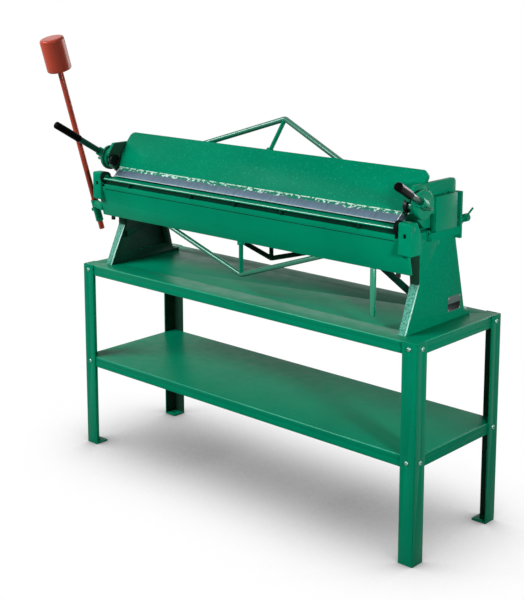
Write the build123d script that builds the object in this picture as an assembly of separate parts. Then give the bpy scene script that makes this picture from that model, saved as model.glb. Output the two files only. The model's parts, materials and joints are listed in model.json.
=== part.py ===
from build123d import *
import os
from math import cos, radians, sin, tan

os.makedirs("parts", exist_ok=True)

# Bench sheet metal brake on a two-level stand.
# Millimetres. X runs along the machine, Y to the rear, Z up.
# The origin is on the floor, at the middle of the four anchor holes.

# Driving sizes
bend_length = 1219.0
stand_width = 1422.0
stand_depth = 432.0
tray_height = 655.0
shelf_height = 324.0
bend_rise = 311.0        # working face of the bed above the tray
bend_inset = 33.0        # bend line behind the front of the stand

# Stand
sheet = 3.0
flange_drop = 36.0
leg_side = 50.0
leg_wall = 4.0
foot_wall = 5.0
anchor_hole_r = 5.5

# Fasteners
bolt_r = 5.0
bolt_flats = 16.0
bolt_head = 6.5
nut_height = 8.0
bolt_end = 3.0           # thread that shows past the nut
hole_room = 0.3          # radial room of a bolt in its hole
stand_bolt_r = 4.0       # domed socket bolts of the stand
button_r = 7.0
button_head = 4.4
button_round = 3.2
button_socket = 5.0
button_socket_depth = 2.4
stand_nut_flats = 13.0
stand_nut_height = 6.5
screw_r = 4.0
screw_flats = 13.0
screw_head = 5.0

# Fits
running_fit = 0.06       # radial, shaft in bore
seat_fit = 0.03          # radial, pin in its seat
slide_gap = 0.3          # between sliding faces

# Widths across one end, from the end of the bend line outwards
frame_room = 4.5
lug_wall = 12.0
web_wall = 26.0
leaf_gap = 1.0
end_plate_wall = 12.0
housing_gap = 2.0
arm_wall = 12.0
box_wall = 19.0
hub_gap = 1.0
hub_wall = 12.0
slot_room = 2.0
block_width = 40.0

# End frames, measured from the bend line to the rear and from the tray upwards
frame_front = 11.0
frame_rear = 310.0
knee_back = 72.5
knee_rise = 135.0
neck_rise = 225.0
neck_drop = 16.0         # neck's top below the bend line
web_drop = 26.0          # web's top below the bend line, under the leaf
lug_r = 20.0
hinge_pin_r = 10.0
front_strip = 12.0       # how far the front strip stands inside the web
front_strip_wall = 14.0
front_strip_foot = 45.0
pocket_depth = 14.0      # hollow in the web's inner face
pocket_front = 32.0
pocket_rear = 18.0
pocket_rise = 35.0
pocket_room = 20.0       # from the pocket's top to the bed
tab_length = 26.0
tab_wall = 12.0
tab_root = 8.0           # the tab's end inside the web
foot_bolt_back = 40.0
foot_bolt_depth = 24.0
rail_front = 100.0
rail_drop = 28.0         # top of the slide rail below the bend line
rail_depth = 23.0
strip_back = 239.0       # front of the screw strip behind the bend line
strip_wall = 10.0
strip_proud = 2.0
strip_rise = 248.0
housing_rise = 74.0
plate_length = 66.0      # data plate
plate_height = 45.0
plate_wall = 1.0
plate_back = 217.0
plate_rise = 27.0

# Bed
bed_lead = 0.5
bed_back = 173.0
bed_height = 76.0
bed_bevel = 33.0
bed_wall = 14.0
bed_end_wall = 24.0
rib_front = 53.0
rib_middle = 79.0
rib_middle_wall = 20.0
rib_rear_wall = 24.0
bed_bolt_drop = 46.0
bed_truss_span = 490.0
bed_truss_drop = 214.0
bed_truss_r = 8.0
brace_top = 380.0
brace_drop = 211.0
brace_wall = 8.0
brace_width = 20.0

# Top leaf
setback = 16.0           # nose edge behind the bend line, at rest
leaf_open = 6.0          # nose bar above the bed, at rest
leaf_drop = 5.5          # travel down from rest
leaf_lift = 14.5         # travel up from rest
leaf_slope = 52.8        # degrees above the horizontal
leaf_height = 141.0
leaf_wall = 14.0
leaf_corner_r = 20.0
leaf_flare = 60.0        # height at which the leaf reaches its full width
nose_end_room = 13.0     # nose bar's end inside the end of the bed
nose_land = 2.5
nose_run = 28.0
nose_rise = 26.0
nose_lip = 40.0
nose_lip_wall = 14.0
nose_bolt_count = 9
nose_bolt_pitch = 145.0
nose_bolt_height = 22.0
end_screw_heights = (68.0, 93.0)
leaf_truss_span = 513.0
leaf_truss_foot = 62.0
leaf_truss_apex = 269.0
leaf_truss_r = 9.0
leaf_truss_gap = 2.0
truss_lug = 26.0

# Clamp levers, hub measured from the bend line
hub_back = 57.0
hub_rise = 60.0
hub_r = 42.0
hub_round = 4.0
hub_spigot_r = 9.0
boss_r = 36.0
journal_r = 28.0
clamp_swing = 68.0       # degrees of lever travel from the bed to full height
clamp_pin_r = 14.0
clamp_pin_room = 0.6
clamp_pin_travel = 4.0
jaw_back = 10.0          # tip of the end plate's lower jaw behind the upper one
pin_collar_r = 20.0
pin_collar_wall = 12.0
pin_spigot_r = 8.0
peg_r = 5.5
peg_length = 34.0
lever_angles = {"left": 32.0, "right": 22.0}
lever_splays = {"left": 6.0, "right": 16.0}
splay_start = 28.0
lever_r = 10.5
lever_inset = 17.0       # lever's axis outside the hub's inner face
lever_length = 240.0
lever_seat = 26.0
socket_r = 15.0
socket_reach = 48.0
grip_r = 12.5
grip_start = 135.0
grip_end = 247.0
grip_round = 6.0

# Slide housings, measured from the hub
box_front = 62.0
box_length = 106.0
key_back = 146.0
key_width = 10.0
key_low = 36.0
key_high = 8.0
tongue_in = 4.0
tongue_width = 6.0
tongue_depth = 6.0
end_plate_back = 188.0
end_plate_drop = 16.0    # below the bend line
end_plate_top = 53.0
end_plate_corner_r = 14.0

# Setback screws
setback_r = 6.0
setback_seat = 12.0
setback_reach = 25.0     # bare screw behind the strip
setback_in = 10.0        # from the housing's inner face
setback_drop = 10.0      # below the bend line
knob_r = 12.0
knob_length = 18.0
cross_bar_r = 3.0
cross_bar_length = 80.0
cross_bar_angle = 53.0

# Apron
apron_bar_depth = 16.0
apron_bar_wall = 5.0
apron_bar_leg = 6.5
apron_bar_height = 21.0
apron_wall = 12.5
apron_overhang = 14.0    # front of the plate's top edge ahead of the bend line
apron_height = 114.0
apron_lean = 27.0
apron_end = 650.0
apron_slot_drop = 10.0
block_back = 18.0
block_heel = 38.0        # back of the block's lower half
block_heel_drop = 21.0
block_rise = 17.0
block_drop = 77.0
block_room = 3.0
block_round = 6.0
block_pocket = 13.0
block_pocket_in = 20.0
block_pocket_drop = 20.0
groove_drop = 17.0
groove_height = 2.0
groove_depth = 1.5
jack_screw_places = (-486.0, -193.0, 0.0, 193.0, 486.0)
apron_truss_span = 315.0
apron_truss_drop = 107.0
apron_truss_r = 8.0
truss_apex_r = 16.0
post_r = 7.0
collar_r = 12.0
collar_height = 10.0
handle_place = 518.0
handle_r = 9.0
handle_length = 143.0
bumper_place = 606.0
bumper_r = 7.0
bumper_height = 13.0

# Counterweight, on a rod that leans to the front
rod_out = 62.0           # rod's axis outside the apron's end block
rod_back = 10.6          # rod's axis behind the bend line, at its height
rod_lean = 16.5
rod_r = 9.5
rod_low = 213.0
rod_seat = 40.0
weight_start = 381.0
weight_length = 116.0
weight_r = 42.0
weight_round = 9.0
tube_r = 13.0
tube_start = -181.0
tube_length = 80.0
clamp_bar_wall = 22.0
clamp_bar_drop = 98.0

# Places that follow from the sizes above
half_bend = bend_length / 2
bend_y = bend_inset - stand_depth / 2
bend_z = tray_height + bend_rise
frame_in = half_bend + frame_room
lug_out = frame_in + lug_wall
web_out = frame_in + web_wall
plate_in = lug_out + leaf_gap
plate_out = plate_in + end_plate_wall
arm_in = plate_out + housing_gap
arm_out = arm_in + arm_wall
box_out = arm_in + box_wall
hub_in = arm_out + hub_gap
hub_out = hub_in + hub_wall
lever_x = hub_in + lever_inset
block_in = lug_out + slot_room
block_out = block_in + block_width
rail_top = bend_z - rail_drop
housing_top = bend_z + housing_rise
collar_out = plate_in - slide_gap
collar_in = collar_out - pin_collar_wall
hub_y = bend_y + hub_back
hub_z = bend_z + hub_rise
box_y = hub_y + box_front
box_back = box_y + box_length
strip_y = bend_y + strip_back
bed_low = bend_z - bed_height
bed_rear = bend_y + bed_back
nose_y = bend_y + setback
nose_z = bend_z + leaf_open
nose_end = half_bend - nose_end_room
apron_top = bend_z - apron_bar_height
apron_low = apron_top - apron_height
apron_front = bend_y - apron_overhang
apron_low_middle = apron_front + apron_lean + apron_wall / 2
sides = {"left": -1, "right": 1}

nodes = {}


# Helpers
def box_between(low, high):
    size = [b - a for a, b in zip(low, high)]
    return Solid.make_box(*size, Plane(origin=low))


def rod_between(start, end, radius):
    run = Vector(*end) - Vector(*start)
    return Solid.make_cylinder(radius, run.length, Plane(origin=start, z_dir=run))


def along_x(y, z, x_from, x_to, radius):
    return rod_between((x_from, y, z), (x_to, y, z), radius)


def across(outline, x_from, x_to):
    """A solid with this outline in (Y, Z), from one X to another."""
    face = make_face(Polyline(*outline, close=True))
    return extrude(Plane.YZ.offset(x_from) * face, amount=x_to - x_from)


def on_side(shape, side):
    """Pieces are drawn for the right end, and mirrored for the left."""
    return shape if side == "right" else mirror(shape, about=Plane.YZ)


def hexagon(plane, flats, height):
    corner_r = flats / 2 / cos(radians(30))
    return extrude(plane * RegularPolygon(corner_r, 6), amount=height)


def hex_bolt(seat, inward, length, radius=bolt_r, flats=bolt_flats, head=bolt_head):
    """A bolt whose head stands on seat and whose shank runs inward."""
    plane = Plane(origin=seat, z_dir=Vector(*inward))
    shank = Solid.make_cylinder(radius, length, plane)
    return hexagon(plane, flats, -head) + shank


def button_bolt(seat, inward, length):
    """A domed bolt with a hexagon socket, whose head stands on seat and whose shank runs inward."""
    outward = Vector(*inward) * -1
    head = Solid.make_cylinder(button_r, button_head, Plane(origin=seat, z_dir=outward))
    rim = head.edges().filter_by(GeomType.CIRCLE).sort_by_distance(Vector(*seat))[-1]
    head = fillet(rim, button_round)
    crown = Plane(origin=Vector(*seat) + outward * button_head, z_dir=Vector(*inward))
    head -= hexagon(crown, button_socket, button_socket_depth)
    return head + Solid.make_cylinder(stand_bolt_r, length, Plane(origin=seat, z_dir=Vector(*inward)))


def hex_nut(seat, outward, radius=bolt_r, flats=bolt_flats, height=nut_height):
    plane = Plane(origin=seat, z_dir=Vector(*outward))
    bore = Solid.make_cylinder(radius + hole_room / 2, height, plane)
    return hexagon(plane, flats, height) - bore


def bent_rod(plane, points, radii, radius):
    """A round rod along straight runs and tangent arcs, drawn on a plane."""
    path = plane * FilletPolyline(*points, radius=radii)
    section = Plane(origin=path @ 0, z_dir=path % 0) * Circle(radius)
    return sweep(section, path=path)


def apex_dip(rise, run):
    """How far the rounded apex lies inside the sharp corner of a truss rod."""
    slope_cos = run / (rise * rise + run * run) ** 0.5
    return truss_apex_r * (1 / slope_cos - 1)


# Stand: legs, feet, tray, shelf and their bolts
tray_x = stand_width / 2 - leg_wall
tray_y = stand_depth / 2 - leg_wall
leg_bolt_in = leg_wall + (leg_side - leg_wall) / 2
leg_bolt_length = leg_wall + sheet + stand_nut_height + bolt_end


def leg_bolt_seats(side, end):
    """Each leg has a bolt through both faces, at the tray and at the shelf: (seat, inward)."""
    seats = []
    for height in (tray_height, shelf_height):
        z = height - flange_drop / 2
        seats.append(((side * (stand_width / 2 - leg_bolt_in), end * stand_depth / 2, z), (0, -end, 0)))
        seats.append(((side * stand_width / 2, end * (stand_depth / 2 - leg_bolt_in), z), (-side, 0, 0)))
    return seats


def leg(side, end):
    """An angle with its corner at the outer corner of the stand."""
    x = side * stand_width / 2
    y = end * stand_depth / 2
    outline = [
        (x, y), (x - side * leg_side, y), (x - side * leg_side, y - end * leg_wall),
        (x - side * leg_wall, y - end * leg_wall), (x - side * leg_wall, y - end * leg_side),
        (x, y - end * leg_side),
    ]
    angle = extrude(make_face(Polyline(*outline, close=True)), amount=tray_height)
    for seat, inward in leg_bolt_seats(side, end):
        through = Vector(*seat) + Vector(*inward) * leg_side
        angle -= rod_between(seat, tuple(through), stand_bolt_r + hole_room)
    return angle


def foot(side, end):
    x = sorted((side * (stand_width / 2 - leg_wall), side * (stand_width / 2 - leg_side)))
    y = sorted((end * (stand_depth / 2 - leg_wall), end * (stand_depth / 2 - leg_side)))
    plate = box_between((x[0], y[0], 0), (x[1], y[1], foot_wall))
    middle = (sum(x) / 2, sum(y) / 2)
    return plate - rod_between((*middle, 0), (*middle, foot_wall), anchor_hole_r)


def folded_sheet(height):
    """A flat sheet with a flange folded down along each side."""
    outer = box_between((-tray_x, -tray_y, height - flange_drop), (tray_x, tray_y, height))
    inner = box_between((sheet - tray_x, sheet - tray_y, height - flange_drop),
                        (tray_x - sheet, tray_y - sheet, height - sheet))
    return outer - inner


bolts, nuts, feet = [], [], []
tray = folded_sheet(tray_height)
shelf = folded_sheet(shelf_height)
for side_name, side in sides.items():
    for end_name, end in (("front", -1), ("rear", 1)):
        nodes[f"{side_name}_{end_name}_leg"] = leg(side, end)
        feet.append(foot(side, end))
        for seat, inward in leg_bolt_seats(side, end):
            bolts.append(button_bolt(seat, inward, leg_bolt_length))
            inner = Vector(*seat) + Vector(*inward) * (leg_wall + sheet)
            nuts.append(hex_nut(tuple(inner), inward, stand_bolt_r, stand_nut_flats, stand_nut_height))
            hole = rod_between(seat, tuple(inner), stand_bolt_r + hole_room)
            tray -= hole
            shelf -= hole

# End frames
foot_front = bend_y + frame_front
foot_rear = bend_y + frame_rear
knee_y = bend_y + knee_back
knee_z = tray_height + knee_rise
strip_low = tray_height + strip_rise
strip_rear = strip_y + strip_wall
web_top = bend_z - web_drop
screw_x = arm_in + setback_in
screw_z = bend_z - setback_drop
foot_bolt_x = frame_in + web_wall / 2
front_bolt_y = foot_front + foot_bolt_back
tab_bolt_y = foot_rear + tab_length / 2
tab_bolt_length = tab_wall + sheet + nut_height + bolt_end
bed_bolt_places = (
    (bend_y + rib_middle + rib_middle_wall / 2, bend_z - bed_bolt_drop),
    (bed_rear - rib_rear_wall / 2, bed_low + bolt_flats / 2 + bolt_end),
)


def front_edge(z):
    """Y of the frame's leaning front edge at a height below the knee."""
    return foot_front + (knee_y - foot_front) * (z - tray_height) / knee_rise


def rear_edge(z):
    return foot_rear + (strip_rear - foot_rear) * (z - tray_height) / strip_rise


def frame_pocket():
    """Hollow in the inner face of the web, with a margin all round."""
    low = tray_height + pocket_rise
    top = bed_low - pocket_room
    return across([
        (front_edge(low) + pocket_front, low), (rear_edge(low) - pocket_rear, low),
        (rear_edge(top) - pocket_rear, top), (knee_y + pocket_front, top), (knee_y + pocket_front, knee_z),
    ], frame_in, frame_in + pocket_depth)


def front_strip_solid():
    """Inner edge of the frame's front, which widens from the foot to the bed."""
    strip = across([
        (foot_front, tray_height), (foot_front + front_strip_wall, tray_height),
        (knee_y + front_strip_wall, knee_z), (knee_y + front_strip_wall, bed_low),
        (knee_y, bed_low), (knee_y, knee_z),
    ], frame_in - front_strip, frame_in)
    taper = [
        (frame_in - front_strip, bed_low), (frame_in, bed_low), (frame_in, tray_height + front_strip_foot),
    ]
    face = Plane.XZ.offset(-foot_front) * make_face(Polyline(*taper, close=True))
    return strip & extrude(face, amount=-knee_back)


def end_frame():
    web = across([
        (foot_front, tray_height), (foot_rear, tray_height), (strip_rear, strip_low), (strip_rear, web_top),
        (knee_y, web_top), (knee_y, knee_z),
    ], frame_in, web_out)
    neck = across([
        (bend_y + lug_r * 0.4, bend_z + lug_r * 0.9), (bend_y + lug_r + neck_drop, bend_z - neck_drop),
        (knee_y, bend_z - neck_drop), (knee_y, tray_height + neck_rise),
        (bend_y - lug_r * 0.2, bend_z - lug_r * 0.95),
    ], frame_in, lug_out)
    lug = along_x(bend_y, bend_z, frame_in, lug_out, lug_r)
    tab_top = tray_height + tab_wall
    tab_rear = foot_rear + tab_length
    tab = box_between((frame_in, foot_rear - tab_root, tray_height), (web_out, tab_rear, tab_top))
    rail = box_between((web_out, bend_y + rail_front, rail_top - rail_depth), (box_out, strip_y, rail_top))
    tongue_x = arm_in + tongue_in
    rail -= box_between(
        (tongue_x - slide_gap, bend_y + rail_front, rail_top - tongue_depth - slide_gap),
        (tongue_x + tongue_width + slide_gap, strip_y, rail_top),
    )
    strip_out = box_out + strip_proud
    screw_strip = box_between((frame_in, strip_y, strip_low), (strip_out, strip_rear, web_top))
    screw_strip += box_between((arm_in, strip_y, web_top), (strip_out, strip_rear, housing_top))
    frame = web + neck + lug + front_strip_solid() + tab + rail + screw_strip - frame_pocket()
    frame -= along_x(bend_y, bend_z, frame_in, lug_out, hinge_pin_r + running_fit)
    frame -= rod_between((screw_x, strip_y, screw_z), (screw_x, strip_rear, screw_z), setback_r + running_fit)
    for y, z in bed_bolt_places:
        frame -= along_x(y, z, frame_in, web_out, bolt_r + hole_room)
        frame -= along_x(y, z, web_out - bolt_head, web_out, bolt_flats / 2 + hole_room)
    hole_tops = ((front_bolt_y, tray_height + foot_bolt_depth + hole_room), (tab_bolt_y, tab_top))
    for y, top in hole_tops:
        frame -= rod_between((foot_bolt_x, y, tray_height), (foot_bolt_x, y, top), bolt_r + hole_room)
    return frame


frame_bolts = []
for side_name, side in sides.items():
    nodes[f"{side_name}_end_frame"] = on_side(end_frame(), side_name)
    x = side * foot_bolt_x
    under = tray_height - sheet
    frame_bolts.append(hex_bolt((x, front_bolt_y, under), (0, 0, 1), sheet + foot_bolt_depth))
    frame_bolts.append(hex_bolt((x, tab_bolt_y, tray_height + tab_wall), (0, 0, -1), tab_bolt_length))
    nuts.append(hex_nut((x, tab_bolt_y, under), (0, 0, -1)))
    for y in (front_bolt_y, tab_bolt_y):
        tray -= rod_between((x, y, under), (x, y, tray_height), bolt_r + hole_room)

nodes["foot_plates"] = feet
nodes["top_tray"] = tray
nodes["lower_shelf"] = shelf
nodes["stand_bolts"] = bolts
nodes["stand_nuts"] = nuts
nodes["frame_bolts"] = frame_bolts
plate_y = bend_y + plate_back
plate_z = tray_height + plate_rise
nodes["data_plate"] = box_between((web_out, plate_y, plate_z),
                                  (web_out + plate_wall, plate_y + plate_length, plate_z + plate_height))


# Bed, its bolts, braces and truss
def bed():
    body = across([
        (bend_y + bed_lead, bend_z), (bed_rear, bend_z), (bed_rear, bed_low), (bend_y + bed_bevel, bed_low),
    ], -frame_in, frame_in)
    end = frame_in - bed_end_wall
    ribs = (
        (bend_y + rib_front, bend_y + rib_middle),
        (bend_y + rib_middle + rib_middle_wall, bed_rear - rib_rear_wall),
    )
    for front, back in ribs:
        body -= box_between((-end, front, bed_low), (end, back, bend_z - bed_wall))
    for side in sides.values():
        for y, z in bed_bolt_places:
            body -= along_x(y, z, side * (frame_in - bed_end_wall), side * frame_in, bolt_r + hole_room)
    return body


def bed_brace():
    """A flat bar from the bed's middle rib down to the frame's inner face."""
    y = bend_y + rib_middle + brace_wall / 2
    x_end = frame_in
    z_end = bend_z - brace_drop
    slope_run = x_end - brace_top
    slope_rise = bed_low - z_end
    slope = (slope_run ** 2 + slope_rise ** 2) ** 0.5
    half_top = brace_width / 2 * slope / slope_rise
    half_end = brace_width / 2 * slope / slope_run
    outline = [
        (brace_top - half_top, bed_low), (brace_top + half_top, bed_low),
        (x_end, z_end + half_end), (x_end, z_end - half_end),
    ]
    face = Plane.XZ.offset(-y) * make_face(Polyline(*outline, close=True))
    return extrude(face, amount=brace_wall / 2, both=True)


def truss_rod(y, span, top, apex, radius):
    """A rod bent down to its apex, with its ends cut level under the piece that it stiffens."""
    beyond = 1 + 4 * radius / (top - apex)
    end_x = span * beyond
    end_z = apex + (top - apex) * beyond
    rod = bent_rod(Plane.XZ.offset(-y), [(-end_x, end_z), (0, apex), (end_x, end_z)], truss_apex_r, radius)
    above = box_between((-2 * end_x, y - 2 * radius, top), (2 * end_x, y + 2 * radius, end_z + 2 * radius))
    return rod - above


def truss_post(y, top, apex, rod, span):
    """A post with a collar, coped to the rod that it props."""
    reach = apex + apex_dip(top - apex, span)
    post = rod_between((0, y, top), (0, y, reach), post_r)
    post += rod_between((0, y, top), (0, y, top - collar_height), collar_r)
    return post - rod


def bed_bolt(side, y, z):
    """A bolt whose round head is sunk flush in the frame."""
    head = along_x(y, z, side * (web_out - bolt_head), side * web_out, bolt_flats / 2)
    shank = along_x(y, z, side * (frame_in - bed_end_wall + hole_room), side * (web_out - bolt_head), bolt_r)
    return head + shank


nodes["bed"] = bed()
nodes["bed_bolts"] = [bed_bolt(side, y, z) for side in sides.values() for y, z in bed_bolt_places]
for side_name in sides:
    nodes[f"{side_name}_bed_brace"] = on_side(bed_brace(), side_name)
bed_truss_y = bed_rear - rib_rear_wall / 2
bed_truss_apex = bend_z - bed_truss_drop
bed_truss = truss_rod(bed_truss_y, bed_truss_span, bed_low, bed_truss_apex, bed_truss_r)
nodes["bed_truss_rod"] = bed_truss
nodes["bed_truss_post"] = truss_post(bed_truss_y, bed_low, bed_truss_apex, bed_truss, bed_truss_span)

# Top leaf: plate, nose bar, end plates and truss
slope_cos = cos(radians(leaf_slope))
slope_sin = sin(radians(leaf_slope))
nose_top = (nose_y + nose_run, nose_z + nose_rise)
leaf_plane = Plane(origin=(0, *nose_top), x_dir=(1, 0, 0), z_dir=(0, -slope_sin, slope_cos))


def leaf_point(height, depth):
    """(Y, Z) of a point on the leaf: height up the slope, depth behind its front face."""
    y = nose_top[0] + height * slope_cos + depth * slope_sin
    z = nose_top[1] + height * slope_sin - depth * slope_cos
    return y, z


def leaf_plate():
    corners = [
        (-nose_end, 0), (nose_end, 0), (plate_in, leaf_flare), (plate_in, leaf_height),
        (-plate_in, leaf_height), (-plate_in, leaf_flare),
    ]
    face = make_face(Polyline(*corners, close=True))
    face = fillet(face.vertices().group_by(Axis.Y)[-1], leaf_corner_r)
    plate = extrude(leaf_plane * face, amount=-leaf_wall)
    for seat in nose_bolt_seats():
        plate -= nose_bolt_hole(seat, nose_bolt_length, seat_fit)
    for side in sides.values():
        for height in end_screw_heights:
            y, z = leaf_point(height, leaf_wall / 2)
            plate -= along_x(y, z, side * (plate_in - end_plate_wall), side * plate_in, screw_r + seat_fit)
    return plate


nose_bolt_length = nose_lip_wall + leaf_wall - screw_head


def nose_bolt_seats():
    y, z = leaf_point(nose_bolt_height, leaf_wall + nose_lip_wall)
    middle = (nose_bolt_count - 1) / 2
    return [((i - middle) * nose_bolt_pitch, y, z) for i in range(nose_bolt_count)]


def nose_bolt_hole(seat, depth, room):
    return Solid.make_cylinder(screw_r + room, depth, Plane(origin=seat, z_dir=leaf_plane.z_dir))


def nose_bar():
    lip_back = leaf_point(nose_lip, leaf_wall + nose_lip_wall)
    heel_y = lip_back[0] - (lip_back[1] - nose_z) / tan(radians(leaf_slope))
    bar = across([
        (nose_y, nose_z), (nose_y, nose_z + nose_land), nose_top, leaf_point(0, leaf_wall),
        leaf_point(nose_lip, leaf_wall), lip_back, (heel_y, nose_z),
    ], -nose_end, nose_end)
    for seat in nose_bolt_seats():
        bar -= nose_bolt_hole(seat, nose_lip_wall, hole_room)
    return bar


# The eccentric pin swings evenly about the level of the hub, and its mouth is level with the hub at mid lift.
leaf_travel = leaf_lift + leaf_drop
rest_below = (leaf_lift - leaf_drop) / 2
throw = leaf_travel / 2 / sin(radians(clamp_swing / 2))
throw_angle = radians(rest_below * clamp_swing / leaf_travel)
pin_y = hub_y - throw * cos(throw_angle)
pin_z = hub_z - throw * sin(throw_angle)
slot_z = hub_z - rest_below


def leaf_end_plate():
    """Side cheek of the leaf: a level mouth for the eccentric pin and an upright slot for the key."""
    outline = [
        (hub_y - boss_r, hub_z - throw), (hub_y - boss_r, hub_z + throw),
        (hub_y - throw / 2, hub_z + end_plate_top), (hub_y + end_plate_back, hub_z + end_plate_top),
        (hub_y + end_plate_back, bend_z - end_plate_drop),
        (hub_y + boss_r, bend_z - end_plate_drop), (hub_y - throw / 2, hub_z - boss_r),
    ]
    face = make_face(Polyline(*outline, close=True))
    rear_top = face.vertices().group_by(Axis.Y)[-1].sort_by(Axis.X)[-1]
    face = fillet(rear_top, end_plate_corner_r)
    plate = extrude(Plane.YZ.offset(plate_in) * face, amount=end_plate_wall)
    slot_r = clamp_pin_r + clamp_pin_room
    mouth_end = pin_y + clamp_pin_travel
    front = hub_y - boss_r
    plate -= along_x(mouth_end, slot_z, plate_in, plate_out, slot_r)
    plate -= box_between((plate_in, front, slot_z - slot_r), (plate_out, mouth_end, slot_z + slot_r))
    plate -= box_between((plate_in, front, hub_z - boss_r), (plate_out, front + jaw_back, slot_z))
    key_y = hub_y + key_back
    plate -= box_between(
        (plate_in, key_y - slide_gap, hub_z - key_low - leaf_lift - housing_gap),
        (plate_out, key_y + key_width + slide_gap, hub_z + key_high + leaf_drop + housing_gap),
    )
    for height in end_screw_heights:
        y, z = leaf_point(height, leaf_wall / 2)
        plate -= along_x(y, z, plate_in, plate_out, screw_r + hole_room)
        plate -= along_x(y, z, plate_out - screw_head, plate_out, screw_flats / 2 + hole_room)
    return plate


def end_screw(height):
    """A socket screw whose head is sunk flush in the end plate."""
    y, z = leaf_point(height, leaf_wall / 2)
    shank = along_x(y, z, plate_in - end_plate_wall + slide_gap, plate_out - screw_head, screw_r)
    return shank + along_x(y, z, plate_out - screw_head, plate_out, screw_flats / 2)


truss_depth = leaf_wall + leaf_truss_gap + leaf_truss_r
truss_plane = leaf_plane.offset(-truss_depth)


def leaf_truss_rod():
    inner = leaf_truss_span - truss_lug
    points = [
        (-leaf_truss_span, leaf_truss_foot), (-inner, leaf_truss_foot), (0, leaf_truss_apex),
        (inner, leaf_truss_foot), (leaf_truss_span, leaf_truss_foot),
    ]
    return bent_rod(truss_plane, points, [truss_apex_r] * 3, leaf_truss_r)


def leaf_truss_lug(side):
    """Block on the back of the leaf that takes the end of the truss rod."""
    x = sorted((side * leaf_truss_span, side * (leaf_truss_span + truss_lug)))
    face = Rectangle(x[1] - x[0], truss_lug)
    place = leaf_plane.offset(-leaf_wall) * Location(((x[0] + x[1]) / 2, leaf_truss_foot))
    return extrude(place * face, amount=-(leaf_truss_gap + 2 * leaf_truss_r))


def leaf_truss_post():
    """Post from a collar on the back of the leaf to the truss rod's apex."""
    foot_height = leaf_height - truss_lug
    dip = apex_dip(leaf_truss_apex - leaf_truss_foot, leaf_truss_span - truss_lug)
    reach = leaf_truss_apex - dip
    start = truss_plane.from_local_coords((0, foot_height, 0))
    top = truss_plane.from_local_coords((0, reach, 0))
    post = rod_between(tuple(start), tuple(top), post_r)
    block = Location((0, foot_height)) * Rectangle(2 * collar_r, truss_lug)
    post += extrude(leaf_plane.offset(-leaf_wall) * block, amount=-(leaf_truss_gap + 2 * leaf_truss_r))
    return post - leaf_truss_rod()


nodes["top_leaf_plate"] = leaf_plate()
nodes["nose_bar"] = nose_bar()
nodes["nose_bar_bolts"] = [
    hex_bolt(seat, tuple(leaf_plane.z_dir), nose_bolt_length, screw_r, screw_flats, screw_head)
    for seat in nose_bolt_seats()
]
end_screws = []
for side_name in sides:
    nodes[f"{side_name}_leaf_end_plate"] = on_side(leaf_end_plate(), side_name)
    end_screws += [on_side(end_screw(height), side_name) for height in end_screw_heights]
nodes["leaf_end_screws"] = end_screws
nodes["leaf_truss_rod"] = leaf_truss_rod()
nodes["leaf_truss_post"] = leaf_truss_post()
nodes["leaf_truss_lugs"] = [leaf_truss_lug(side) for side in sides.values()]


# Slide housings, clamp levers and setback screws, one set at each end
def slide_housing():
    """Carries the lever's journal in front and guides the leaf's end plate with its key."""
    box = box_between((arm_in, box_y, rail_top + slide_gap), (box_out, box_back, housing_top))
    arm = across([
        (hub_y, hub_z - throw - slide_gap), (hub_y, hub_z + boss_r), (hub_y + boss_r, hub_z + boss_r),
        (box_y, housing_top), (box_y, hub_z - boss_r),
    ], arm_in, arm_out)
    boss = along_x(hub_y, hub_z, arm_in, arm_out, boss_r)
    key_y = hub_y + key_back
    key = box_between((plate_in + housing_gap, key_y, hub_z - key_low),
                      (arm_in, key_y + key_width, hub_z + key_high))
    tongue_x = arm_in + tongue_in
    tongue = box_between((tongue_x, box_y, rail_top - tongue_depth),
                         (tongue_x + tongue_width, box_back, rail_top + slide_gap))
    housing = box + arm + boss + key + tongue
    housing -= along_x(hub_y, hub_z, arm_in, arm_out, journal_r + running_fit)
    housing -= rod_between((screw_x, box_back - setback_seat, screw_z), (screw_x, box_back, screw_z),
                           setback_r + running_fit)
    return housing


def eccentric_shaft():
    """Journal in the housing, eccentric pin on its inner face, spigot and driving peg in the hub."""
    journal_in = arm_in - housing_gap / 4
    shaft = along_x(hub_y, hub_z, journal_in, hub_in, journal_r)
    shaft += along_x(hub_y, hub_z, hub_in, hub_out, hub_spigot_r)
    shaft += along_x(pin_y, pin_z, collar_out, journal_in, clamp_pin_r)
    shaft += along_x(pin_y, pin_z, collar_in, collar_out, pin_spigot_r)
    return shaft + along_x(pin_y, pin_z, hub_in, hub_out + peg_length, peg_r)


def pin_collar():
    """Ring that keeps the eccentric pin in the mouth of the end plate."""
    ring = along_x(pin_y, pin_z, collar_in, collar_out, pin_collar_r)
    return ring - along_x(pin_y, pin_z, collar_in, collar_out, pin_spigot_r + seat_fit)


def lever_point(side_name, reach):
    """A point on the lever's axis, drawn for the right end."""
    lift = radians(lever_angles[side_name])
    splay = radians(lever_splays[side_name])
    x = lever_x + (reach - splay_start) * sin(splay)
    y = hub_y - reach * cos(splay) * cos(lift)
    z = hub_z + reach * cos(splay) * sin(lift)
    return x, y, z


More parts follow.
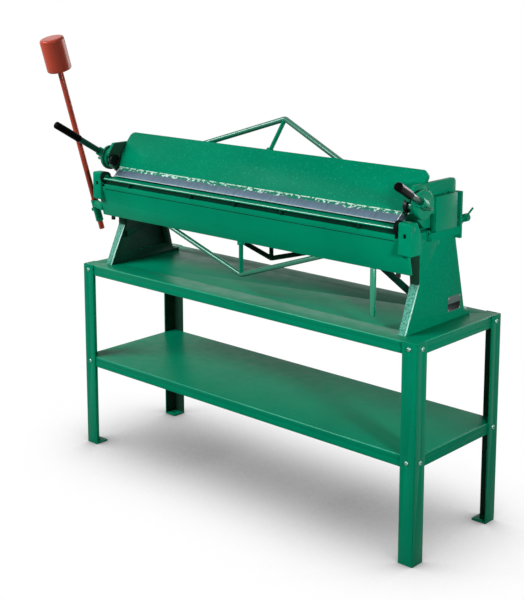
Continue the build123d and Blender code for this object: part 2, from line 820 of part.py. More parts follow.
def clamp_hub(side_name):
    """Disc on the shaft's spigot, with a round socket for the lever on its outer face."""
    disc = along_x(hub_y, hub_z, hub_in, hub_out, hub_r)
    disc = fillet(disc.edges().filter_by(GeomType.CIRCLE).group_by(Axis.X)[-1], hub_round)
    root = lever_point(side_name, 0)
    socket = rod_between(root, lever_point(side_name, socket_reach), socket_r)
    socket += Pos(*root) * Solid.make_sphere(socket_r, angle1=-90, angle2=90)
    socket -= box_between((hub_in - 2 * socket_r, hub_y - 2 * hub_r, hub_z - 2 * hub_r),
                          (hub_in, hub_y + 2 * hub_r, hub_z + 2 * hub_r))
    hub = disc + socket
    hub -= along_x(hub_y, hub_z, hub_in, hub_out, hub_spigot_r + seat_fit)
    hub -= along_x(pin_y, pin_z, hub_in, hub_out + peg_length, peg_r + seat_fit)
    return hub - rod_between(lever_point(side_name, lever_seat), lever_point(side_name, 2 * hub_r),
                             lever_r + seat_fit)


def lever_grip(side_name):
    grip = rod_between(lever_point(side_name, grip_start), lever_point(side_name, grip_end), grip_r)
    grip = fillet(grip.edges().filter_by(GeomType.CIRCLE), grip_round)
    return grip - rod_between(lever_point(side_name, grip_start), lever_point(side_name, lever_length),
                              lever_r + seat_fit)


cross_bar_run = (cos(radians(cross_bar_angle)), 0, sin(radians(cross_bar_angle)))
knob_y = strip_y + strip_wall + setback_reach


def cross_bar(radius):
    middle = Vector(screw_x, knob_y + knob_length / 2, screw_z)
    half = Vector(*cross_bar_run) * (cross_bar_length / 2)
    return rod_between(tuple(middle - half), tuple(middle + half), radius)


def setback_screw():
    tip = box_back - setback_seat + slide_gap
    screw = rod_between((screw_x, tip, screw_z), (screw_x, knob_y, screw_z), setback_r)
    knob = rod_between((screw_x, knob_y, screw_z), (screw_x, knob_y + knob_length, screw_z), knob_r)
    knob = chamfer(knob.edges().filter_by(GeomType.CIRCLE), bolt_end / 2)
    return screw + knob - cross_bar(cross_bar_r + seat_fit)


for side_name in sides:
    lever = rod_between(lever_point(side_name, lever_seat),
                        lever_point(side_name, lever_length - slide_gap), lever_r)
    nodes[f"{side_name}_slide_housing"] = on_side(slide_housing(), side_name)
    nodes[f"{side_name}_eccentric_shaft"] = on_side(eccentric_shaft(), side_name)
    nodes[f"{side_name}_pin_collar"] = on_side(pin_collar(), side_name)
    nodes[f"{side_name}_clamp_hub"] = on_side(clamp_hub(side_name), side_name)
    nodes[f"{side_name}_clamp_lever"] = on_side(lever, side_name)
    nodes[f"{side_name}_lever_grip"] = on_side(lever_grip(side_name), side_name)
    nodes[f"{side_name}_setback_screw"] = on_side(setback_screw(), side_name)
    nodes[f"{side_name}_setback_bar"] = on_side(cross_bar(cross_bar_r), side_name)

# Apron: plate, bending bar, end blocks, truss, handle and bumpers
apron_bar_end = frame_in - slot_room


def apron_plate():
    plate = across([
        (apron_front, apron_top), (apron_front + apron_wall, apron_top),
        (apron_front + apron_wall + apron_lean, apron_low), (apron_front + apron_lean, apron_low),
    ], -apron_end, apron_end)
    far = apron_end + block_width
    back = apron_front + apron_wall + apron_lean
    for side in sides.values():
        slot = (apron_bar_end, apron_top - apron_slot_drop)
        shoulder = (block_in, bend_z - block_drop - block_room)
        for inner, z in (slot, shoulder):
            x = sorted((side * inner, side * far))
            plate -= box_between((x[0], apron_front, z), (x[1], back, apron_top))
    groove_y = apron_front + apron_lean * groove_drop / apron_height
    plate -= box_between((-apron_bar_end, apron_front, apron_top - groove_drop - groove_height),
                         (apron_bar_end, groove_y + groove_depth, apron_top - groove_drop))
    return plate


def apron_bar():
    """Angle along the top edge, with its flange overhanging to the front."""
    back = bend_y - bed_lead
    return across([
        (bend_y - apron_bar_depth, bend_z), (back, bend_z),
        (back, apron_top), (back - apron_bar_leg, apron_top),
        (back - apron_bar_leg, bend_z - apron_bar_wall), (bend_y - apron_bar_depth, bend_z - apron_bar_wall),
    ], -apron_bar_end, apron_bar_end)


def end_block():
    """Hinge block at the apron's end, with a square pocket in its front."""
    front = bend_y - apron_bar_depth
    low = bend_z - block_drop
    top = bend_z + block_rise
    block = across([
        (front, low), (front, top), (bend_y + block_back, top),
        (bend_y + block_heel, bend_z - block_heel_drop), (bend_y + block_heel, low),
    ], block_in, block_out)
    block = fillet(block.edges().filter_by(Axis.X), block_round)
    block -= along_x(bend_y, bend_z, block_in, block_out, hinge_pin_r + seat_fit)
    x = block_in + block_pocket_in
    z = bend_z - block_pocket_drop
    half = block_pocket / 2
    return block - box_between((x - half, front, z - half), (x + half, front + block_pocket, z + half))


jack_y = bend_y - apron_bar_depth + screw_r
jack_top = bend_z - apron_bar_wall
nodes["apron_plate"] = apron_plate()
nodes["apron_bar"] = apron_bar()
nodes["apron_bar_screws"] = [
    rod_between((x, jack_y, apron_top), (x, jack_y, jack_top), screw_r) for x in jack_screw_places
]
for side_name in sides:
    pin = along_x(bend_y, bend_z, frame_in + bed_lead, block_out, hinge_pin_r)
    nodes[f"{side_name}_apron_end_block"] = on_side(end_block(), side_name)
    nodes[f"{side_name}_hinge_pin"] = on_side(pin, side_name)

apron_apex = apron_low - apron_truss_drop
apron_truss = truss_rod(apron_low_middle, apron_truss_span, apron_low, apron_apex, apron_truss_r)
nodes["apron_truss_rod"] = apron_truss
nodes["apron_truss_post"] = truss_post(apron_low_middle, apron_low, apron_apex, apron_truss, apron_truss_span)
handle = rod_between((handle_place, apron_low_middle, apron_low),
                     (handle_place, apron_low_middle, apron_low - handle_length), handle_r)
nodes["apron_handle"] = chamfer(handle.edges().filter_by(GeomType.CIRCLE).group_by(Axis.Z)[0], bolt_end / 2)
nodes["apron_bumpers"] = [
    rod_between((side * bumper_place, apron_low_middle, apron_low),
                (side * bumper_place, apron_low_middle, apron_low - bumper_height), bumper_r)
    for side in sides.values()
]

# Counterweight, its rod and the clamp on the apron's left end
rod_x = -(block_out + rod_out)
lean_cos = cos(radians(rod_lean))
lean_sin = sin(radians(rod_lean))


def rod_point(reach):
    """A point on the rod's axis, measured from the height of the bend line."""
    return rod_x, bend_y + rod_back - reach * lean_sin, bend_z + reach * lean_cos


def counterweight():
    weight = rod_between(rod_point(weight_start), rod_point(weight_start + weight_length), weight_r)
    weight = fillet(weight.edges().filter_by(GeomType.CIRCLE), weight_round)
    return weight - rod_between(rod_point(weight_start), rod_point(weight_start + rod_seat), rod_r + seat_fit)


clamp_z = bend_z - clamp_bar_drop
clamp_screw_seat = rod_point(tube_start + tube_length / 2)


def counterweight_clamp():
    """Tube round the rod, carried by a bar from the end of the apron's plate."""
    tube = rod_between(rod_point(tube_start), rod_point(tube_start + tube_length), tube_r)
    tube_middle = rod_point((clamp_z - clamp_bar_wall / 2 - bend_z) / lean_cos)
    lean_at_bar = apron_lean * (apron_top - clamp_z) / apron_height
    plate_y = apron_front + lean_at_bar + apron_wall
    bar_plan = [
        (-apron_end, plate_y - apron_wall), (-apron_end, plate_y), (rod_x, tube_middle[1] + rod_r),
        (rod_x, tube_middle[1] - rod_r),
    ]
    face = make_face(Polyline(*bar_plan, close=True))
    bar = extrude(Plane.XY.offset(clamp_z - clamp_bar_wall) * face, amount=clamp_bar_wall)
    clamp = tube + bar
    clamp -= rod_between(rod_point(tube_start - tube_length), rod_point(tube_start + 2 * tube_length),
                         rod_r + running_fit)
    x, y, z = clamp_screw_seat
    return clamp - along_x(y, z, x - 2 * tube_r, x, screw_r + seat_fit)


screw_x_out, screw_y_out, screw_z_out = clamp_screw_seat
rod_top = weight_start + rod_seat - slide_gap
nodes["counterweight_rod"] = rod_between(rod_point(-rod_low), rod_point(rod_top), rod_r)
nodes["counterweight"] = counterweight()
nodes["counterweight_clamp"] = counterweight_clamp()
nodes["counterweight_clamp_screw"] = hex_bolt(
    (screw_x_out - tube_r - screw_head, screw_y_out, screw_z_out), (1, 0, 0),
    tube_r + screw_head - rod_r - slide_gap, screw_r, screw_flats, screw_head,
)

# Write one file for each node
for name, shape in nodes.items():
    pieces = shape if isinstance(shape, list) else [shape]
    solids = [solid for piece in pieces for solid in piece.solids()]
    body = solids[0] if len(solids) == 1 else Compound(solids)
    export_step(body, f"parts/{name}.step")
print(len(nodes), "nodes written")
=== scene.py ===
# %% [markdown]
# A bench sheet metal brake is dressed here for its picture. The solids of the machine come in as a fixed
# frame: every piece already has its place, its body and its name. This lesson adds what a solid lacks,
# which is rounded edges, paint, ground steel, fasteners and light. One way would be to model the machine
# again in Blender; starting from the solids keeps every size and every joint right.

# %% Load the frame
import json
import math

import bmesh
import bpy
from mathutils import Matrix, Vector

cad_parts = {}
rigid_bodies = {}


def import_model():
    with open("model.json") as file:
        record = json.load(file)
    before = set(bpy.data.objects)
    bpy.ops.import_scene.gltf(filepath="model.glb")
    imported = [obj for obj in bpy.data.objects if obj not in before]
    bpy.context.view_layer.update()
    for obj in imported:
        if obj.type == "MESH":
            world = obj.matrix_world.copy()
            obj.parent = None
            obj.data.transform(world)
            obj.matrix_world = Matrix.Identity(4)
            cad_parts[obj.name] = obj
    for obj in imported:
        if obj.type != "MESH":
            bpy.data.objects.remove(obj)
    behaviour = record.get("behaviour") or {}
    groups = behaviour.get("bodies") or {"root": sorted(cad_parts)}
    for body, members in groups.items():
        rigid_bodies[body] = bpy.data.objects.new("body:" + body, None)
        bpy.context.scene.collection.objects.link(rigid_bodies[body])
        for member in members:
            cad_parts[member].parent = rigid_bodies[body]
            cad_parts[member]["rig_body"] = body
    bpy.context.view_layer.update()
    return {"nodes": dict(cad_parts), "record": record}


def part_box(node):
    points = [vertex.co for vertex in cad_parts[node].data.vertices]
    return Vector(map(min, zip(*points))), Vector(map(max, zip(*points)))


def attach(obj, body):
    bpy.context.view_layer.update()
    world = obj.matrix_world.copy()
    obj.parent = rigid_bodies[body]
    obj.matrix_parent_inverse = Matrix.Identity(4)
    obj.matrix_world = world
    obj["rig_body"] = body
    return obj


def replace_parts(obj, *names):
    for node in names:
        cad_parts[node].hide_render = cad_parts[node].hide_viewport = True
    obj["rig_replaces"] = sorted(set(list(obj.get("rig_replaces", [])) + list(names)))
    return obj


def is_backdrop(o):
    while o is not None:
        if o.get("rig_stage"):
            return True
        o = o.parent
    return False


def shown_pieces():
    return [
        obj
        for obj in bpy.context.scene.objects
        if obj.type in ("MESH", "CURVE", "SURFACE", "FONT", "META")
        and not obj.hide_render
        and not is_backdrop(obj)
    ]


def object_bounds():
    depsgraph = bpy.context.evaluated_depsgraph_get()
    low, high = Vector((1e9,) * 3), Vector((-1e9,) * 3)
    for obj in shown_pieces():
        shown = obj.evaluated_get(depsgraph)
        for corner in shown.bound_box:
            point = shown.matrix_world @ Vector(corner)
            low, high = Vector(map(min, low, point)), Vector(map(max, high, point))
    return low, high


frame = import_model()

nodes = frame["nodes"]
scene = bpy.context.scene
scene.view_settings.view_transform = "Standard"
slot_of = {piece["node"]: piece["material_slot"] for piece in frame["record"]["subparts"]}
body_of = {name: node["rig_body"] for name, node in nodes.items()}
sides = ("left", "right")
mm = 0.001

# %% [markdown]
# The camera stands where the photo was taken from: to the right of the machine, a little above it, with a
# long lens. Its place was worked out from the corners of the stand. A lens shift keeps the picture's
# frame where it is without tilting the camera further down, as a view camera does.

# %% Camera
camera_data = bpy.data.cameras.new("studio_camera")
camera_data.sensor_width = 36.0
camera_data.lens = 73.87
camera_data.shift_y = -0.19
camera = bpy.data.objects.new("studio_camera", camera_data)
camera.location = (2.5864, -2.8929, 1.6623)
camera_turn = 42.462
camera_tilt = -9.898
camera.rotation_euler = (math.radians(90 + camera_tilt), 0, math.radians(camera_turn))
scene.collection.objects.link(camera)
scene.camera = camera
print("camera at", [round(value, 3) for value in camera.location])

# %% [markdown]
# Materials are small networks of nodes, and so are the Geometry Nodes trees further down. A few helpers
# keep both short to write: one adds a node and sets its inputs by name, others do a sum, mix two colours
# or stretch a range.

# %% Helpers for node networks
def set_or_link(tree, socket, value):
    """Gives an input its value, or links it to an output; a node stands for its first output."""
    if isinstance(value, bpy.types.Node):
        value = value.outputs[0]
    if isinstance(value, bpy.types.NodeSocket):
        tree.links.new(value, socket)
    else:
        socket.default_value = value


def feed(tree, node, **inputs):
    """Gives a node its inputs; an underscore in an input's name stands for a space."""
    for name, value in inputs.items():
        set_or_link(tree, node.inputs[name.replace("_", " ")], value)


def add(tree, kind, settings=None, **inputs):
    """A new node with its settings and its inputs."""
    node = tree.nodes.new(kind)
    for name, value in (settings or {}).items():
        setattr(node, name, value)
    feed(tree, node, **inputs)
    return node


def math_node(tree, operation, first, second=0.0):
    """One sum of two values, which are numbers, nodes or outputs."""
    node = tree.nodes.new("ShaderNodeMath")
    node.operation = operation
    for socket, value in zip(node.inputs, (first, second)):
        set_or_link(tree, socket, value)
    return node


def times(tree, first, second):
    return math_node(tree, "MULTIPLY", first, second)


def mix_colours(tree, factor, first, second):
    """The first colour where the factor is 0, and the second where it is 1."""
    node = tree.nodes.new("ShaderNodeMix")
    node.data_type = "RGBA"
    for name, value in (("Factor_Float", factor), ("A_Color", first), ("B_Color", second)):
        set_or_link(tree, next(s for s in node.inputs if s.identifier == name), value)
    return next(s for s in node.outputs if s.identifier == "Result_Color")


def ramp(tree, value, low, high, low_out=0.0, high_out=1.0):
    """A value taken from one range to another, and held at its ends."""
    return add(tree, "ShaderNodeMapRange", {"clamp": True}, Value=value, From_Min=low, From_Max=high,
               To_Min=low_out, To_Max=high_out)


print("helpers for networks ready")

# %% [markdown]
# Every material begins in the same way, with its shader and with Object coordinates, so that a pattern
# stays on its piece when the piece moves. Most patterns are a noise, whose values lie mostly in the
# middle of its range. Colours are written in the eye's steps, as a picture program shows them.

# %% Helpers for materials
most_of_noise = (0.3, 0.7)


def start_material(name):
    """A material with its tree and its shader, and the Object coordinates that its patterns read."""
    material = bpy.data.materials.new(name)
    material.use_nodes = True
    tree = material.node_tree
    place = tree.nodes.new("ShaderNodeTexCoord").outputs["Object"]
    return material, tree, tree.nodes["Principled BSDF"], place


def noise(tree, place, scale, detail, roughness=0.5):
    """A noise from 0 to 1, with about that many grains in a metre."""
    return add(tree, "ShaderNodeTexNoise", Vector=place, Scale=scale, Detail=detail, Roughness=roughness)


def bump(tree, shader, height, strength, depth):
    """Shades the surface as if a height of 1 stood that far above one of 0."""
    raised = add(tree, "ShaderNodeBump", Height=height, Strength=strength, Distance=depth)
    feed(tree, shader, Normal=raised)


def colour(red, green, blue):
    """A colour in the eye's 0 to 255 steps, turned to the linear values that Blender reads."""
    steps = [step / 255 for step in (red, green, blue)]
    return [s / 12.92 if s <= 0.04045 else ((s + 0.055) / 1.055) ** 2.4 for s in steps] + [1.0]


def toned(tone, share):
    """A colour made darker or lighter, to a share of itself."""
    return [part * share for part in tone[:3]] + [1.0]


green = colour(0, 134, 98)
print("machine green in linear light:", [round(part, 3) for part in green[:3]])

# %% [markdown]
# Sprayed enamel is never quite even: the film drifts a little in tone, pale flecks lie in it, its gloss
# changes where it lies thicker, and its surface sets in shallow dimples. These belong to every painted
# piece, so they are one node group with their sizes as inputs. The shader stays in each material.

# %% Enamel group
cloud_range = (0.35, 0.65)
fleck_range = (0.58, 0.72)
flow_scale = 28.0


def make_enamel_group():
    group = bpy.data.node_groups.new("enamel_film", "ShaderNodeTree")
    kinds = {"Vector": ("Place",), "Color": ("Paint", "Deep Paint", "Fleck"),
             "Float": ("Drift Scale", "Fleck Scale", "Peel Scale", "Gloss Low", "Gloss High")}
    for kind, names in kinds.items():
        for name in names:
            group.interface.new_socket(name, in_out="INPUT", socket_type=f"NodeSocket{kind}")
    for name, kind in (("Colour", "Color"), ("Roughness", "Float"), ("Height", "Float")):
        group.interface.new_socket(name, in_out="OUTPUT", socket_type=f"NodeSocket{kind}")
    given = group.nodes.new("NodeGroupInput").outputs
    result = group.nodes.new("NodeGroupOutput")
    place = given["Place"]
    drift = noise(group, place, given["Drift Scale"], detail=3.0, roughness=0.55)
    coat = mix_colours(group, ramp(group, drift, *cloud_range), given["Paint"], given["Deep Paint"])
    flecks = ramp(group, noise(group, place, given["Fleck Scale"], detail=2.0), *fleck_range)
    flow = noise(group, place, flow_scale, detail=2.0)
    feed(group, result, Colour=mix_colours(group, flecks, coat, given["Fleck"]),
         Roughness=ramp(group, flow, *most_of_noise, given["Gloss Low"], given["Gloss High"]),
         Height=noise(group, place, given["Peel Scale"], detail=1.5))
    return group


enamel_film = make_enamel_group()
print("enamel group outputs:", [s.name for s in enamel_film.interface.items_tree if s.in_out == "OUTPUT"])

# %% [markdown]
# The same green covers the stand, the castings and the plates, but the surface under it differs: rolled
# sheet is smooth, a casting keeps the grain of its sand mould, and the leaf was filled and sprayed thick.
# So one function makes them all, and the dimples are what changes: how many there are in a metre, and how
# deep.

# %% Painted finishes
dimples = {
    "sprayed": (500.0, 0.12 * mm), "sheet": (420.0, 0.10 * mm), "filled": (160.0, 0.40 * mm),
    "casting": (170.0, 0.50 * mm), "weight": (300.0, 0.12 * mm), "unsmoothed": (300.0, 0.20 * mm),
    "forging": (500.0, 0.03 * mm), "drawn bar": (500.0, 0.004 * mm), "worn": (600.0, 0.08 * mm),
    "hammered": (260.0, 0.70 * mm),
}
fleck_scale = 150.0
green_sheen = (0.30, 1.0, 0.85, 1.0)
pale_sheen = (0.75, 1.0, 0.95, 1.0)
red_sheen = (1.0, 0.75, 0.65, 1.0)


def enamel(name, paint, deep, surface, gloss, shine, sheen=green_sheen, drift_scale=5.0, fleck=None):
    """Painted metal; gloss is its range of roughness, and shine and sheen say what it reflects."""
    material, tree, shader, place = start_material(name)
    peel_scale, peel_depth = dimples[surface]
    film = add(tree, "ShaderNodeGroup", {"node_tree": enamel_film}, Place=place, Paint=paint,
               Deep_Paint=deep, Drift_Scale=drift_scale, Fleck=fleck or paint, Fleck_Scale=fleck_scale,
               Peel_Scale=peel_scale, Gloss_Low=gloss[0], Gloss_High=gloss[1]).outputs
    bump(tree, shader, film["Height"], strength=1.0, depth=peel_depth)
    feed(tree, shader, Base_Color=film["Colour"], Roughness=film["Roughness"], Specular_IOR_Level=shine,
         Specular_Tint=sheen)
    return material


deep_green = colour(0, 127, 93)
apron_tone = colour(0, 143, 105)
fleck_green = colour(22, 150, 114)
rust_red = colour(190, 74, 54)
deep_red = colour(158, 58, 41)
finishes = {
    "machine_paint": enamel("machine_green", green, deep_green, "sprayed", (0.26, 0.34), 0.08),
    "stand_paint": enamel("stand_green", green, deep_green, "sheet", (0.30, 0.40), 0.05),
    "leaf_paint": enamel("leaf_green", green, deep_green, "filled", (0.24, 0.32), 0.02, fleck=fleck_green),
    "apron_paint": enamel("apron_green", apron_tone, green, "sheet", (0.28, 0.38), 0.02),
    "frame_paint": enamel("casting_green", green, deep_green, "casting", (0.24, 0.32), 0.02,
                          fleck=fleck_green),
    "weight_paint": enamel("weight_red", rust_red, deep_red, "weight", (0.12, 0.18), 0.15, red_sheen),
}
print("painted finishes:", sorted(finishes))

# %% [markdown]
# Some pieces and faces have a paint of their own. Inner faces, the levers and parts that lie in shadow get
# darker paints, which are painted shade. Drawn rods are so smooth that they mirror the room. Edges get a
# paler and glossier paint, which is a painted highlight. The narrow front of the cast frames is hammered:
# its pale flecks are a finer drift between two tones, and their paleness is a painted highlight.

# %% Paint of single pieces and faces
dull = (0.45, 0.60)
rod_gloss = (0.18, 0.24)
edge_gloss = (0.18, 0.26)
polished = (0.14, 0.20)
shelf_green = enamel("shelf_green", green, deep_green, "sheet", (0.30, 0.40), 0.025)
bed_green = enamel("bed_green", green, deep_green, "unsmoothed", (0.50, 0.60), 0.0)
# Painted shade: a darker green for inner faces that lie in shadow.
inside_shade_green = enamel("inside_shade_green", colour(42, 82, 64), colour(34, 64, 50), "unsmoothed", dull, 0.02)
# Painted shade: a dark green for parts and faces that lie in shadow, under and behind other parts.
shade_green = enamel("painted_shade_green", colour(10, 56, 42), colour(8, 40, 31), "unsmoothed", dull, 0.05)
# Painted shade: the levers get a dark green that stands in for the shade on them.
shaded_lever_green = enamel("shaded_lever_green", colour(18, 72, 55), colour(14, 58, 44), "forging", polished, 0.10)
rod_green = enamel("rod_green", colour(0, 110, 80), colour(0, 98, 72), "drawn bar", rod_gloss, 0.60,
                   pale_sheen)
handle_green = enamel("handle_green", colour(0, 140, 104), colour(0, 130, 96), "drawn bar", rod_gloss, 0.80,
                      pale_sheen)
# Painted highlight: edges get a paler, glossier green that stands in for the light they catch.
edge_highlight_green = enamel("edge_highlight_green", colour(28, 152, 116), colour(12, 138, 102), "worn", edge_gloss, 0.3,
                    pale_sheen)
# Painted highlight: a near-white green for edges worn by the sheets, much paler than the wear alone.
rubbed_highlight_green = enamel("rubbed_highlight_green", colour(206, 242, 228), colour(150, 220, 196), "worn", polished, 0.5,
                      pale_sheen)
# A hammered texture with a paler tone, which is a painted highlight.
hammered_highlight_green = enamel("hammered_highlight_green", colour(106, 182, 164), colour(20, 124, 96), "hammered", edge_gloss,
                        0.4, pale_sheen, drift_scale=190.0)
print("green paints:", len([m for m in bpy.data.materials if m.name.endswith("_green")]))

# %% [markdown]
# Bare steel shows fine scratches. A noise that is drawn out along X gives them, as a change of tone and
# of roughness and as a very shallow bump. Bolts and nuts are zinc, and their scratches run every way. The
# collars on the clamp pins are blackened, which is the same recipe with a darker metal, and worn edges
# have a brighter one, whose brightness is partly a painted highlight.

# %% Metal finishes
scratch_shade = 0.8
scratch_depth = 0.04 * mm


def scratches(tree, place, along, across):
    """A noise in streaks, with that many in a metre along X and across it."""
    stretched = add(tree, "ShaderNodeMapping", Vector=place, Scale=(along, across, across))
    return noise(tree, stretched, scale=1.0, detail=4.0, roughness=0.7)


def ground_steel(name, metal, gloss, along, across, metallic=1.0):
    material, tree, shader, place = start_material(name)
    streaks = scratches(tree, place, along, across)
    tone = mix_colours(tree, ramp(tree, streaks, *most_of_noise), toned(metal, scratch_shade), metal)
    matt = ramp(tree, streaks, *most_of_noise, *gloss)
    feed(tree, shader, Base_Color=tone, Roughness=matt, Metallic=metallic)
    bump(tree, shader, streaks, strength=0.5, depth=scratch_depth)
    return material


finishes["fastener_steel"] = ground_steel("zinc_fasteners", colour(132, 168, 156), (0.26, 0.40),
                                          along=400.0, across=400.0)
finishes["shaft_steel"] = ground_steel("blackened_steel", colour(34, 35, 36), (0.30, 0.45),
                                       along=80.0, across=300.0)
# Partly a painted highlight: a nearly white, little metallic steel for worn edges.
worn_highlight_edge = ground_steel("worn_steel_highlight_edge", colour(214, 220, 226), (0.16, 0.30), along=60.0,
                           across=700.0, metallic=0.2)
print("metal finishes: fasteners, blackened collars, worn edges")

# %% [markdown]
# The nose bar is ground across its length. Its upper part was sprayed over when the leaf was painted, and
# the spray ends in a ragged line. Height decides between the two, and a noise is added to the height so
# that the line wanders. Where the spray is thin it has broken up into pale flecks, whose paleness is a
# painted highlight.

# %% Nose bar finish
spray_height = 0.9918
spray_wander = 16.0 * mm
spray_blur = 1.5 * mm
thin_spray_highlight = (0.54, 0.60)
streak_shade = 0.72
bare_metallic = 0.85
nose_gloss = (0.30, 0.44)


def sprayed_steel(name, metal, spray, fleck):
    material, tree, shader, place = start_material(name)
    streaks = scratches(tree, place, along=220.0, across=24.0)
    steel = mix_colours(tree, ramp(tree, streaks, *most_of_noise), toned(metal, streak_shade), metal)
    chips = noise(tree, place, scale=85.0, detail=3.0, roughness=0.6)
    film = mix_colours(tree, ramp(tree, chips, *thin_spray_highlight), spray, fleck)
    drift = noise(tree, place, scale=45.0, detail=4.0, roughness=0.65)
    wander = times(tree, math_node(tree, "SUBTRACT", drift, 0.5), spray_wander)
    height = math_node(tree, "ADD", add(tree, "ShaderNodeSeparateXYZ", Vector=place).outputs["Z"], wander)
    sprayed = ramp(tree, height, spray_height - spray_blur, spray_height + spray_blur)
    feed(tree, shader, Base_Color=mix_colours(tree, sprayed, steel, film),
         Metallic=ramp(tree, sprayed, 0.0, 1.0, bare_metallic, 0.0),
         Roughness=ramp(tree, streaks, *most_of_noise, *nose_gloss), Specular_IOR_Level=0.1)
    bump(tree, shader, chips, strength=0.4, depth=0.2 * mm)
    return material


# The pale colour of the flecks is a painted highlight.
finishes["polished_steel"] = sprayed_steel("ground_nose_steel", colour(96, 118, 134), colour(14, 124, 96),
                                           colour(206, 240, 226))
print("nose bar is bare below", spray_height, "m")

# %% [markdown]
# The grips are dipped in black vinyl, the bumpers are black rubber, and a dull black serves the lugs of the
# hinges, as painted shade, and the inner ends of the eccentric pins. Black that is truly black hides its
# shape, so the base colour stays a little above it and the gloss does the drawing. The small plate on the
# right frame has bare metal above and a dark field below.

# %% Black finishes
light_grain = 1.5


def moulded(name, tone, gloss, grain_scale, grain_depth, shine):
    """A material with a fine grain, which is lighter on its high spots."""
    material, tree, shader, place = start_material(name)
    grain = noise(tree, place, grain_scale, detail=2.0)
    feed(tree, shader, Base_Color=mix_colours(tree, grain, tone, toned(tone, light_grain)),
         Roughness=ramp(tree, grain, *most_of_noise, *gloss), Specular_IOR_Level=shine)
    bump(tree, shader, grain, strength=0.6, depth=grain_depth)
    return material


# A dull black; on the lugs of the hinges it is painted shade.
dull_black = moulded("dull_black", colour(16, 17, 15), (0.50, 0.65), 300.0, 0.1 * mm, 0.012)
finishes["grip_plastic"] = moulded("black_vinyl", colour(9, 8, 8), (0.16, 0.24), 350.0, 0.2 * mm, 0.012)
finishes["bumper_rubber"] = moulded("black_rubber", colour(20, 20, 20), (0.65, 0.80), 600.0, 0.2 * mm, 0.2)
finishes["plate_metal"] = moulded("plate_border", colour(78, 96, 92), (0.30, 0.40), 250.0, 0.1 * mm, 0.1)
plate_field = moulded("plate_field", colour(24, 26, 26), (0.35, 0.45), 300.0, 0.1 * mm, 0.15)

# %% [markdown]
# No edge on a real machine is a knife edge: sheet is bent round a radius, castings come rounded from the
# mould, and machined bars are broken with a file. A rounded edge catches the light, and that thin bright
# line is what makes a piece look solid. Each CAD node is copied, merged and bevelled, and the copy then
# stands for the node. The bevel can put its new faces in a second material, which is how an edge gets its
# own finish.

# %% Rounded copies of the pieces
sharp_angle = math.radians(30)
smooth_angle = math.radians(35)
flat_angle = math.radians(0.5)
merge_distance = 0.001 * mm
own, extra = 0, 1


def sharp_edges(shape):
    return [e for e in shape.edges if len(e.link_faces) == 2 and e.calc_face_angle(0.0) > sharp_angle]


def merged_copy(name):
    """The node's triangles joined up, with the cuts across flat faces taken out."""
    shape = bmesh.new()
    shape.from_mesh(nodes[name].data)
    bmesh.ops.remove_doubles(shape, verts=shape.verts, dist=merge_distance)
    bmesh.ops.dissolve_limit(shape, angle_limit=flat_angle, verts=shape.verts, edges=shape.edges)
    for face in shape.faces:
        face.material_index = own
    return shape


def round_edges(shape, edges, radius, segments=2, finish=-1):
    """Bevels edges; finish is the material number of the new faces, or -1 for that of their neighbours."""
    bmesh.ops.bevel(shape, geom=edges, offset=radius, offset_type="OFFSET", segments=segments, profile=0.5,
                    affect="EDGES", clamp_overlap=True, material=finish)


def place_piece(name, mesh, node):
    """A mesh shaded smooth between its sharp edges, riding on the node's body in place of the node."""
    mesh.shade_smooth()
    mesh.set_sharp_from_angle(angle=smooth_angle)
    piece = bpy.data.objects.new(name, mesh)
    scene.collection.objects.link(piece)
    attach(piece, body_of[node])
    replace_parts(piece, node)


def finished_piece(node, shape, *more_finishes):
    """A shape that stands for a node: material 0 is the node's own finish, and others may follow it."""
    mesh = bpy.data.meshes.new(f"{node}_rounded")
    shape.to_mesh(mesh)
    shape.free()
    for material in (own_finish.get(node, finishes[slot_of[node]]), *more_finishes):
        mesh.materials.append(material)
    place_piece(f"{node}_rounded", mesh, node)


def rounded_piece(node, radius, picked=None, second=None):
    """A node with all its edges rounded; the faces for which picked is true have the second finish."""
    shape = merged_copy(node)
    chosen = [face for face in shape.faces if picked and picked(face)]
    for face in chosen:
        face.material_index = extra
    round_edges(shape, sharp_edges(shape), radius)
    finished_piece(node, shape, *([second] if second else []))
    return len(chosen)


own_finish = {name: rod_green for name in (
    "leaf_truss_rod", "apron_truss_rod", "left_eccentric_shaft", "right_eccentric_shaft")}
own_finish |= {f"{side}_clamp_lever": shaded_lever_green for side in sides}
# Painted shade: the bed's truss and braces and the apron bar's screws lie in shadow and get the dark shade
# paint.
own_finish |= {name: shade_green for name in (
    "bed_truss_rod", "bed_truss_post", "left_bed_brace", "right_bed_brace", "apron_bar_screws")}
own_finish |= {"counterweight_clamp": finishes["apron_paint"], "apron_handle": handle_green,
               "bed": bed_green, "lower_shelf": shelf_green}
print("rounding helpers ready; pieces with a finish of their own:", len(own_finish))

# %% [markdown]
# The stand is sheet and angle iron. Its trays are folded, so their top edges get the radius of the fold,
# with the paler edge paint, which is a painted highlight, and the angle legs get a rounded heel. The inside
# of the rear angles gets a darker paint, which is painted shade. The rest of the sheet's edges are only
# broken.

# %% Stand
fold_radius = 3.0 * mm
fold_steps = 4
sheet_break = 0.6 * mm
thickest_wall = 8.0 * mm
touch = 0.01 * mm
facing = 0.9


def on_planes(edge, *planes):
    """True where both ends of an edge lie on each plane, given as (axis, place)."""
    return all(abs(v.co[axis] - place) < touch for v in edge.verts for axis, place in planes)


def fold_edges(shape, low, high):
    """The four top edges of a folded tray."""
    outer = [(axis, limit[axis]) for axis in (0, 1) for limit in (low, high)]
    return [e for e in sharp_edges(shape) if any(on_planes(e, (2, high.z), side) for side in outer)]


def leg_corner(low, high):
    """Where the two walls of an angle leg meet, at the outside of the stand."""
    return [least if least < 0 else most for least, most in zip(low[:2], high[:2])]


